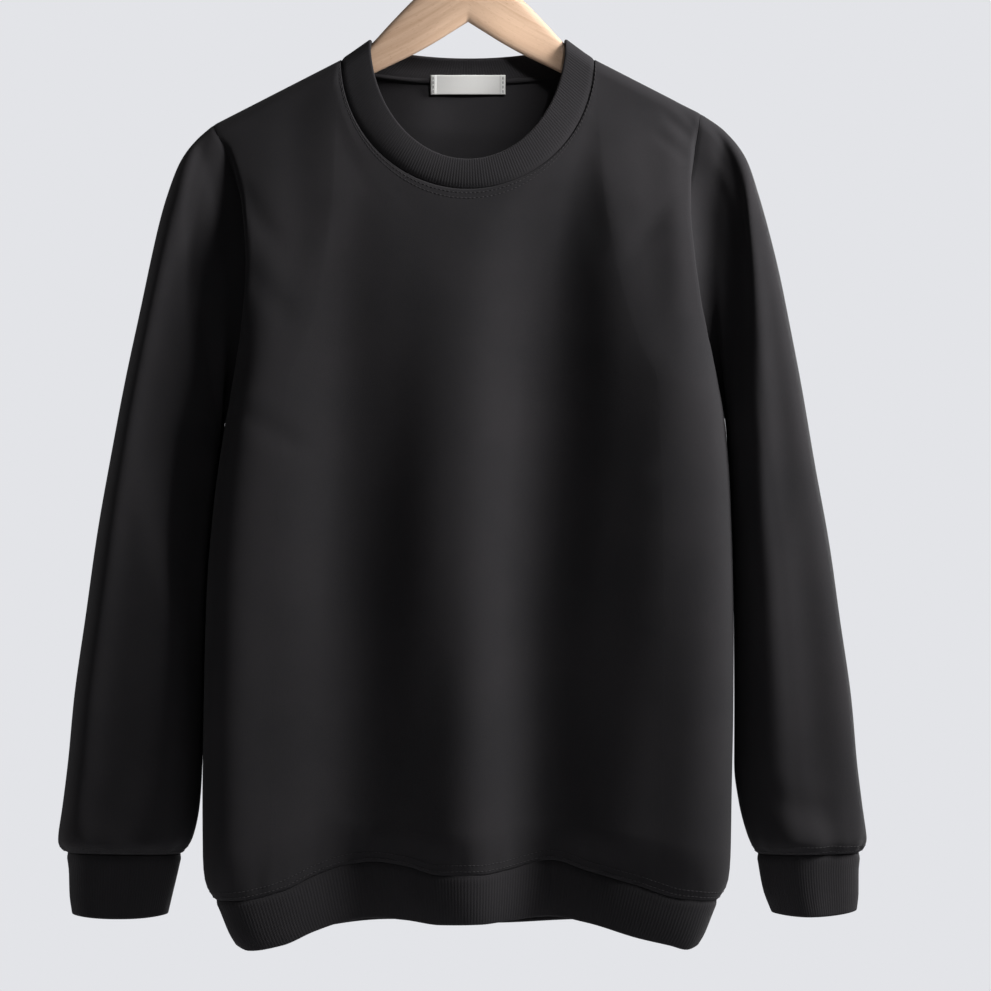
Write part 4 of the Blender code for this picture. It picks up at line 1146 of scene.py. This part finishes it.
# %% Make the label
LABEL_HALF = 30.0
LABEL_TOP = -152.0
LABEL_BOTTOM = -167.2
LABEL_END = 5.0
LABEL_GAP = 0.5
LABEL_BOW = 0.5
BUMP_HEIGHT = 1.4
BUMP_WIDTH = 3.5
fine_end = np.linspace(0.0, LABEL_END, 11)
label_x = np.concatenate([
    -LABEL_HALF + fine_end, np.linspace(-24.0, 24.0, 25), LABEL_HALF - fine_end[::-1],
])
label_z = np.linspace(LABEL_TOP, LABEL_BOTTOM, 22)
seam_z = NECK_TOP - NECK_DROP[-1]
band_line = band_surface(np.zeros(2), np.array([0.0, 1.0]), -1)
on_panel = half_depth(NECK_TOP - label_z, -1) - CLOTH_WALL * 1.15
on_band = np.interp(label_z, band_line[:, 2], band_line[:, 1]) - RIB_WALL
behind = np.where(label_z < seam_z, on_panel, on_band) - LABEL_GAP
behind = behind - BUMP_HEIGHT * np.exp(-((label_z - seam_z) / BUMP_WIDTH) ** 2)
straight = np.interp(label_z, [LABEL_BOTTOM, LABEL_TOP], [behind[-1], behind[0]])
behind = straight + np.min(behind - straight)
grid_x, grid_z = np.meshgrid(label_x, label_z)
turned_end = smooth_step(LABEL_HALF - 4.4, LABEL_HALF - 3.8, np.abs(grid_x))
bow = LABEL_BOW * np.cos(np.pi * grid_x / (2 * LABEL_HALF)) ** 2
end_round = 0.5 * np.sqrt(np.clip(1.0 - ((LABEL_HALF - np.abs(grid_x)) / 0.6), 0.0, 1.0))
face_y = behind[:, None] - 0.55 - 0.45 * turned_end - bow + end_round * 0.6
label_front = np.stack([grid_x, face_y, grid_z], axis=-1)
label_back = np.stack([grid_x, behind[:, None] - bow * 0.9, grid_z], axis=-1)
pieces["woven_label"] = make_wall("woven_label", label_front, label_back)
STITCH_INSET = 1.9
end_rows = []
for x in (STITCH_INSET - LABEL_HALF, LABEL_HALF - STITCH_INSET):
    line = label_front[1:-1, int(np.argmin(np.abs(label_x - x)))]
    end_rows.append((line, np.tile([0.0, -1.0, 0.0], (len(line), 1)), False))
make_stitching("label_stitching", end_rows)

# %% [markdown]
# ## Hanger and hook
# The hanger is cut from solid beech: two sloping arms with rounded edges and a notch
# below the middle. A section is set across at each place along it. The hook is a bent
# 4 mm wire: a stem, a small bend back, and an open loop whose crown is the origin.

# %% Make the hanger
HANGER_PROFILE = [
    # x      top     bottom
    (0, -65, -110.4), (12, -67.5, -117.9), (26, -77, -126.6),
    (44, -93, -136.6), (62, -111.5, -145.3), (78, -128.6, -153),
    (90, -138.1, -158.5), (101.6, -145.6, -163.5), (112, -148.9, -168.5),
    (140, -162.9, -181), (170, -178.3, -194.5), (180, -183.8, -198),
    (186, -188.2, -198.6), (189.5, -192.3, -196.4),
]
ARM_HALF_THICKNESS = 5.5
HANGER_SIDES = 44


def ring_ends(number, points):
    """Points and triangles that close both ends of a tube of rings with a fan."""
    middles = np.stack([points[0].mean(axis=0), points[-1].mean(axis=0)])
    fans = []
    for ring, centre, turned in ((number[0], number.size, 1), (number[-1], number.size + 1, -1)):
        fan = np.stack([np.full(len(ring), centre), np.roll(ring, -1), ring], axis=-1)
        fans.append(fan[:, ::turned])
    return np.concatenate([points.reshape(-1, 3), middles]), np.concatenate(fans)


def make_tube(name, rings):
    """A closed body from rings of points, ends filled, with a UV map along and round it."""
    number = np.arange(rings.size // 3).reshape(rings.shape[:2])
    points, fans = ring_ends(number, rings)
    place = np.arange(number.shape[0] * (number.shape[1] + 1)).reshape(number.shape[0], -1)
    uv = cloth_uv(wrapped(rings))[..., ::-1].reshape(-1, 2)
    faces = [strip_faces(wrapped(number)), fans]
    return make_mesh(name, points, faces, uv, [strip_faces(place), fans * 0])


half_x = np.concatenate([np.linspace(0.0, 184.0, 93), [185.6, 187.0, 188.1, 188.9, 189.4]])
arm_x = np.concatenate([-half_x[:0:-1], half_x])
arm_top = look_up(HANGER_PROFILE, 1, np.abs(arm_x))[:, None]
arm_bottom = look_up(HANGER_PROFILE, 2, np.abs(arm_x))[:, None]
turn = 2 * np.pi * np.arange(HANGER_SIDES) / HANGER_SIDES
# The hump in the middle is squarer than the arms, and the arms' ends are thinned.
out = np.abs(arm_x)[:, None]
roundness = 2.0 / (3.4 - 1.0 * smooth_step(70.0, 90.0, out))
thinned = 1.0 - 0.65 * smooth_step(180.0, 190.0, out)
half_height = (arm_top - arm_bottom) / 2
arm = np.stack([
    np.repeat(arm_x[:, None], HANGER_SIDES, axis=1),
    ARM_HALF_THICKNESS * power(np.sin(turn), roundness) * thinned,
    (arm_top + arm_bottom) / 2 + half_height * power(np.cos(turn), roundness),
], axis=-1)
pieces["beech_hanger"] = make_tube("beech_hanger", arm)

# %% Bend the hook
HOOK_RADIUS = 22.0
WIRE_RADIUS = 2.0
WIRE_BEND = 10.0
HOOK_END = 208.0
STEM_DEPTH = 18.0
WIRE_SIDES = 20
loop_centre = -HOOK_RADIUS + WIRE_RADIUS
rise = math.sqrt((WIRE_BEND + HOOK_RADIUS) ** 2 - WIRE_BEND ** 2)
bend_centre = loop_centre - rise
meet = math.atan2(-rise, WIRE_BEND)
stem_z = np.linspace(HANGER_PROFILE[0][1] - STEM_DEPTH, bend_centre, 12)[:-1]


def arc(x, z, radius, angles):
    """Points x, z plus the radius times cosine and sine."""
    return np.stack([x + radius * np.cos(angles), z + radius * np.sin(angles)], axis=-1)


wire = np.concatenate([
    np.stack([np.zeros_like(stem_z), stem_z], axis=-1),
    arc(WIRE_BEND, bend_centre, WIRE_BEND, np.linspace(math.pi, math.pi + meet, 12)[:-1]),
    arc(0.0, loop_centre, HOOK_RADIUS, np.linspace(meet, math.radians(HOOK_END), 90)),
])
# The free end is rounded: rings that shrink by a sine as they go on by one minus a cosine.
ahead = unit(np.gradient(wire, axis=0))
tip_turn = np.linspace(np.pi / 2, 0.1, 6)[1:]
tip = wire[-1] + ahead[-1] * WIRE_RADIUS * (1.0 - np.cos(tip_turn))[:, None] * 0.9
radius = WIRE_RADIUS * np.concatenate([np.ones(len(wire)), np.sin(tip_turn)])[:, None]
wire = np.concatenate([wire, tip])
ahead = np.concatenate([ahead, np.repeat(ahead[-1:], len(tip), axis=0)])
turn = 2 * np.pi * np.arange(WIRE_SIDES) / WIRE_SIDES
tube = np.stack([
    wire[:, :1] - ahead[:, 1:] * radius * np.cos(turn),
    radius * np.sin(turn),
    wire[:, 1:] + ahead[:, :1] * radius * np.cos(turn),
], axis=-1)
pieces["wire_hook"] = make_tube("wire_hook", tube)
print("hanger and hook:", len(arm), "and", len(tube), "sections")

# %% [markdown]
# ## Materials
# All finishes are procedural. Cloth patterns read the UV map, which is in real metres
# along the cloth, so loops have their true size; wood grain runs along the arm by the
# same map. Colours are written as sRGB and turned linear by one function.


# %% Material tools
def to_linear(colour):
    """sRGB hex to linear: (c + 0.055) / 1.055 to the power 2.4, straight below 0.04."""
    srgb = np.array([int(colour[place:place + 2], 16) for place in (1, 3, 5)]) / 255.0
    linear = np.where(srgb <= 0.04045, srgb / 12.92, ((srgb + 0.055) / 1.055) ** 2.4)
    return (*linear.tolist(), 1.0)


def add_node(tree, kind, inputs=(), **settings):
    """One node: settings are its properties, inputs are values or other nodes' sockets."""
    node = tree.nodes.new(kind)
    for key, value in settings.items():
        setattr(node, key, value)
    for key, value in dict(inputs).items():
        if isinstance(value, bpy.types.NodeSocket):
            tree.links.new(value, node.inputs[key])
        else:
            node.inputs[key].default_value = value
    return node


def start_material(name, **values):
    """A material with its Principled shader's constant inputs set."""
    material = bpy.data.materials.new(name)
    material.use_nodes = True
    shader = material.node_tree.nodes["Principled BSDF"]
    for key, value in values.items():
        shader.inputs[key.replace("_", " ")].default_value = value
    return material


def plug(material, name, socket):
    """Links a socket to one input of the material's Principled shader."""
    tree = material.node_tree
    tree.links.new(socket, tree.nodes["Principled BSDF"].inputs[name])


def combine(tree, operation, first, second=0.0, third=0.0):
    """One Math node; only MULTIPLY_ADD uses the third value, which it adds."""
    inputs = {0: first, 1: second, 2: third}
    return add_node(tree, "ShaderNodeMath", inputs, operation=operation).outputs[0]


def cloth_place(tree, factors=(1.0, 1.0, 1.0)):
    """The UV map's place in metres, times a factor for each axis."""
    place = add_node(tree, "ShaderNodeUVMap", uv_map="cloth").outputs[0]
    inputs = {0: place, 1: factors}
    return add_node(tree, "ShaderNodeVectorMath", inputs, operation="MULTIPLY").outputs[0]


def noise(tree, place, scale, detail, distortion=0.0):
    inputs = {"Vector": place, "Scale": scale, "Detail": detail, "Distortion": distortion}
    return add_node(tree, "ShaderNodeTexNoise", inputs).outputs[0]


def share_between(tree, value, low, high, top=1.0):
    """How far the value lies from low to high, kept between 0 and 1, times top."""
    inputs = {"Value": value, "From Min": low, "From Max": high, "To Max": top}
    return add_node(tree, "ShaderNodeMapRange", inputs).outputs[0]


def two_tone(tree, share, first, second):
    """The first colour at share 0, the second at share 1."""
    inputs = {0: share, 6: first, 7: second}
    return add_node(tree, "ShaderNodeMix", inputs, data_type="RGBA").outputs[2]


def add_bump(material, height, depth, strength):
    inputs = {"Height": height, "Distance": depth, "Strength": strength}
    bump = add_node(material.node_tree, "ShaderNodeBump", inputs)
    plug(material, "Normal", bump.outputs[0])


# %% Knit cloth
CLOTH_DARK = to_linear("#29282a")
CLOTH_LIGHT = to_linear("#302e30")


def knit_height(tree, wale, course):
    """Loops of plain knit: ridges across, with slanted legs that make columns of V."""
    scaled = cloth_place(tree, (1 / wale, 1 / course, 1.0))
    split = add_node(tree, "ShaderNodeSeparateXYZ", {0: scaled})
    leg = combine(tree, "PINGPONG", split.outputs[0], 0.5)
    slant = combine(tree, "MULTIPLY_ADD", leg, 1.3, split.outputs[1])
    loops = combine(tree, "SINE", combine(tree, "MULTIPLY", slant, 2 * math.pi))
    ridge = combine(tree, "SINE", combine(tree, "MULTIPLY", leg, 2 * math.pi))
    return combine(tree, "MULTIPLY_ADD", loops, 0.35, ridge)


def knit_material(name, wale, course, depth):
    """Two close tones mixed by cloudy and fibre noise, over a bump of knitted loops."""
    material = start_material(
        name, Roughness=0.95, Specular_IOR_Level=0.16, Sheen_Weight=0.05, Sheen_Roughness=0.5,
    )
    tree = material.node_tree
    place = add_node(tree, "ShaderNodeTexCoord").outputs["Object"]
    cloudy = noise(tree, place, 14.0, 3.0)
    fibre = noise(tree, place, 1400.0, 2.0)
    half_fibre = combine(tree, "MULTIPLY", fibre, 0.5)
    mixed = combine(tree, "MULTIPLY_ADD", cloudy, 0.5, half_fibre)
    tone = share_between(tree, mixed, 0.36, 0.64)
    plug(material, "Base Color", two_tone(tree, tone, CLOTH_DARK, CLOTH_LIGHT))
    fuzz = combine(tree, "MULTIPLY", fibre, 1.4)
    height = combine(tree, "ADD", knit_height(tree, wale, course), fuzz)
    add_bump(material, height, depth, 0.5)
    return material


# Smooth-faced fleece: almost black, with a soft grey bloom from its loose fibres.
fleece = knit_material("charcoal cotton fleece", 1.2 * MM, 0.9 * MM, 0.12 * MM)
# Rib knit: the same yarn and tones; its wales are in the mesh, its courses in the bump.
rib_knit = knit_material("charcoal rib knit", 2.2 * MM, 1.1 * MM, 0.15 * MM)

# %% Thread, label, beech and wire
# Twisted cotton thread, a shade lighter than the cloth, so that the seams read.
thread = start_material(
    "charcoal sewing thread", Base_Color=to_linear("#343234"), Roughness=0.7,
    Specular_IOR_Level=0.3,
)

# Woven satin tape: fine threads both ways give a faint grid and a soft shine.
woven = start_material("off-white woven tape", Roughness=0.6, Specular_IOR_Level=0.4)
tree = woven.node_tree
place = cloth_place(tree)
waves = []
for direction, per_mm in (("X", 0.5), ("Y", 0.8)):
    inputs = {"Vector": place, "Scale": per_mm / MM, "Distortion": 0.4}
    wave = add_node(tree, "ShaderNodeTexWave", inputs, bands_direction=direction)
    waves.append(wave.outputs[1])
threads = combine(tree, "ADD", *waves)
tone = share_between(tree, threads, 0.0, 2.0)
plug(woven, "Base Color", two_tone(tree, tone, to_linear("#e0dfdc"), to_linear("#eeedea")))
add_bump(woven, threads, 0.05 * MM, 0.4)

# Beech under satin lacquer: pale pinkish ground, long grain lines and short dark flecks.
beech = start_material(
    "lacquered beech", Roughness=0.42, IOR=1.5, Coat_Weight=0.15, Coat_Roughness=0.25,
)
tree = beech.node_tree
grain = noise(tree, cloth_place(tree, (9.0, 260.0, 1.0)), 1.0, 4.0, 0.6)
fleck = noise(tree, cloth_place(tree, (260.0, 1500.0, 1.0)), 1.0, 1.0)
grain_tone = share_between(tree, grain, 0.3, 0.7)
ground = two_tone(tree, grain_tone, to_linear("#cfab8e"), to_linear("#e2c1a5"))
fleck_tone = share_between(tree, fleck, 0.64, 0.72, 0.35)
plug(beech, "Base Color", two_tone(tree, fleck_tone, ground, to_linear("#a0714c")))

# Bright drawn steel wire, polished enough for soft reflections.
wire_steel = start_material(
    "bright steel wire", Base_Color=to_linear("#cbccce"), Metallic=1.0, Roughness=0.24,
)
print("materials:", len(bpy.data.materials))

# %% [markdown]
# ## Join the frame
# Every piece rides on the one body and stands for its nodes. Each cloth piece's row also
# lists the flat size of its cut: width and length in metres, and the area in square
# metres of a cut that isn't a rectangle. For each piece with a cut, half of its closed
# wall's surface, which is its cloth, is printed as its area.

# %% Ride, replace and print the cloth area
PARTS = {
    # piece: material, slot, nodes that it stands for, cut
    "front_panel": (fleece, "fleece", ["front"], (0.50, 0.67, 0.298)),
    "back_panel": (fleece, "fleece", ["back"], (0.50, 0.67, 0.29)),
    "sleeve_cloth_left": (
        fleece, "fleece", ["sleeve_left_upper", "sleeve_left_lower"], (0.42, 0.60, 0.165)),
    "sleeve_cloth_right": (
        fleece, "fleece", ["sleeve_right_upper", "sleeve_right_lower"], (0.42, 0.60, 0.165)),
    "neck_rib": (rib_knit, "rib", ["neckband"], (0.50, 0.028, None)),
    "hem_rib": (rib_knit, "rib", ["hem_band"], (0.88, 0.047, None)),
    "cuff_rib_left": (rib_knit, "rib", ["cuff_left"], (0.22, 0.05, None)),
    "cuff_rib_right": (rib_knit, "rib", ["cuff_right"], (0.22, 0.05, None)),
    "neck_stitching": (thread, "fleece", [], None),
    "hem_stitching": (thread, "fleece", [], None),
    "cuff_stitching_left": (thread, "fleece", [], None),
    "cuff_stitching_right": (thread, "fleece", [], None),
    "woven_label": (woven, "label", ["neck_label"], (0.06, 0.0155, None)),
    "label_stitching": (thread, "label", [], None),
    "beech_hanger": (beech, "wood", ["hanger"], None),
    "wire_hook": (wire_steel, "steel", ["hook"], None),
}
for name, (material, slot, nodes, cut) in PARTS.items():
    piece = pieces[name]
    piece.data.materials.append(material)
    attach(piece, "root")
    if nodes:
        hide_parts(*nodes)
    if cut:
        surface = sum(polygon.area for polygon in piece.data.polygons)
        print(name, "cloth area", round(surface / 2, 4), "m2")

# %% [markdown]
# ## Studio
# The garment hangs in front of an even, pale backdrop. A soft box stands close at the
# right, a little high, and grazes the cloth, so that each fold has a bright and a dark
# side. A weak fill, a rim lamp at the left and a lamp behind draw the edges, a small
# spot reaches into the collar, and a grey card below throws soft light up. The
# backdrop and the floor show to the camera only, so they throw no light of their own.

# %% Backdrop, floor and card
FLOOR_RADIUS = 3.2
FLOOR_GREY = to_linear("#dcdcdf")
CAMERA_ONLY = ("diffuse", "glossy", "transmission", "volume_scatter", "shadow")


def name_stage(name, material, hidden_from):
    """Names and paints the object just added, and hides it from some kinds of ray."""
    made = bpy.context.object
    made.name = name
    made.data.materials.append(material)
    for ray in hidden_from:
        setattr(made, "visible_" + ray, False)
    return made


def add_disc(name, height, material, hidden_from):
    bpy.ops.mesh.primitive_cylinder_add(
        vertices=128, radius=FLOOR_RADIUS, depth=0.02, location=(0, 0, height),
    )
    return name_stage(name, material, hidden_from)


paper = start_material(
    "pale backdrop paper", Base_Color=(0.0, 0.0, 0.0, 1.0), Roughness=1.0,
    Specular_IOR_Level=0.0, Emission_Strength=1.0, Emission_Color=to_linear("#e3e4e8"),
)
vinyl = start_material(
    "pale studio vinyl", Base_Color=FLOOR_GREY, Roughness=0.6, Emission_Strength=0.6,
    Emission_Color=FLOOR_GREY,
)
board = start_material("grey bounce card", Base_Color=FLOOR_GREY, Roughness=0.6)
bpy.ops.mesh.primitive_uv_sphere_add(
    segments=64, ring_count=32, radius=20.0, location=(0, 0, -0.5),
)
backdrop = name_stage("backdrop", paper, CAMERA_ONLY)
floor = add_disc("studio_floor", -1.36, vinyl, CAMERA_ONLY)
card = add_disc("bounce_card", -1.34, board, ("camera",))

# %% Lamps and room light
ROOM_LIGHT = 0.035
scene = bpy.context.scene
world = bpy.data.worlds.new("studio air")
world.use_nodes = True
room = world.node_tree.nodes["Background"]
room.inputs["Color"].default_value = (1.0, 1.0, 1.0, 1.0)
room.inputs["Strength"].default_value = ROOM_LIGHT
scene.world = world


def link_lamp(name, kind, power_w):
    data = bpy.data.lights.new(name, kind)
    data.energy = power_w
    lamp = bpy.data.objects.new(name, data)
    scene.collection.objects.link(lamp)
    return lamp


def add_soft_box(name, turn, rise, distance, target_z, power_w, size):
    """Soft box aimed at a target: turn is degrees from the front towards +X."""
    lamp = link_lamp(name, "AREA", power_w)
    lamp.data.shape = "RECTANGLE"
    lamp.data.size, lamp.data.size_y = size
    a, e = math.radians(turn), math.radians(rise)
    away = np.array([math.sin(a) * math.cos(e), -math.cos(a) * math.cos(e), math.sin(e)])
    lamp.location = away * distance + np.array([0.0, 0.0, target_z])
    lamp.rotation_euler = (math.pi / 2 - e, 0.0, a)
    lamp.visible_camera = False


SOFT_BOXES = [
    # name, turn and rise in degrees, distance, target's height, watts, size
    ("key lamp", 71.0, 27.0, 1.25, -0.25, 32.0, (0.38, 0.5)),
    ("fill lamp", -35.0, 20.0, 4.0, -0.4, 1.6, (2.0, 2.0)),
    ("rim lamp", -104.0, 12.0, 3.0, -0.4, 18.0, (1.0, 1.6)),
    ("back lamp", 145.0, 10.0, 3.5, -0.4, 70.0, (1.0, 1.0)),
]
for soft_box in SOFT_BOXES:
    add_soft_box(*soft_box)

# The spot aims at the label, which the key lamp leaves dark.
SPOT_PLACE = (0.16, -0.33, 0.06)
SPOT_TARGET = (-0.004, 0.035, -0.186)
spot = link_lamp("collar spot", "SPOT", 8.0)
spot.data.spot_size = math.radians(14.0)
spot.data.spot_blend = 0.7
spot.data.shadow_soft_size = 0.03
spot.location = SPOT_PLACE
aim = np.array(SPOT_TARGET) - np.array(SPOT_PLACE)
tilt = math.acos(-aim[2] / np.linalg.norm(aim))
spot.rotation_euler = (tilt, 0.0, math.atan2(-aim[0], aim[1]))
print("lamps:", len(SOFT_BOXES) + 1)

# %% [markdown]
# ## Camera
# A long lens from five metres keeps upright lines upright.

# %% Camera
CAMERA_DISTANCE = 5.0
VIEW_WIDTH = 0.7928
VIEW_CENTRE = (0.022, -0.4892)
camera_data = bpy.data.cameras.new("camera")
camera_data.sensor_width = 36.0
camera_data.lens = camera_data.sensor_width * CAMERA_DISTANCE / VIEW_WIDTH
camera_data.clip_end = 80.0
camera = bpy.data.objects.new("camera", camera_data)
camera.location = (VIEW_CENTRE[0], -CAMERA_DISTANCE, VIEW_CENTRE[1])
camera.rotation_euler = (math.pi / 2, 0.0, 0.0)
scene.collection.objects.link(camera)
scene.camera = camera
scene.view_settings.view_transform = "Standard"
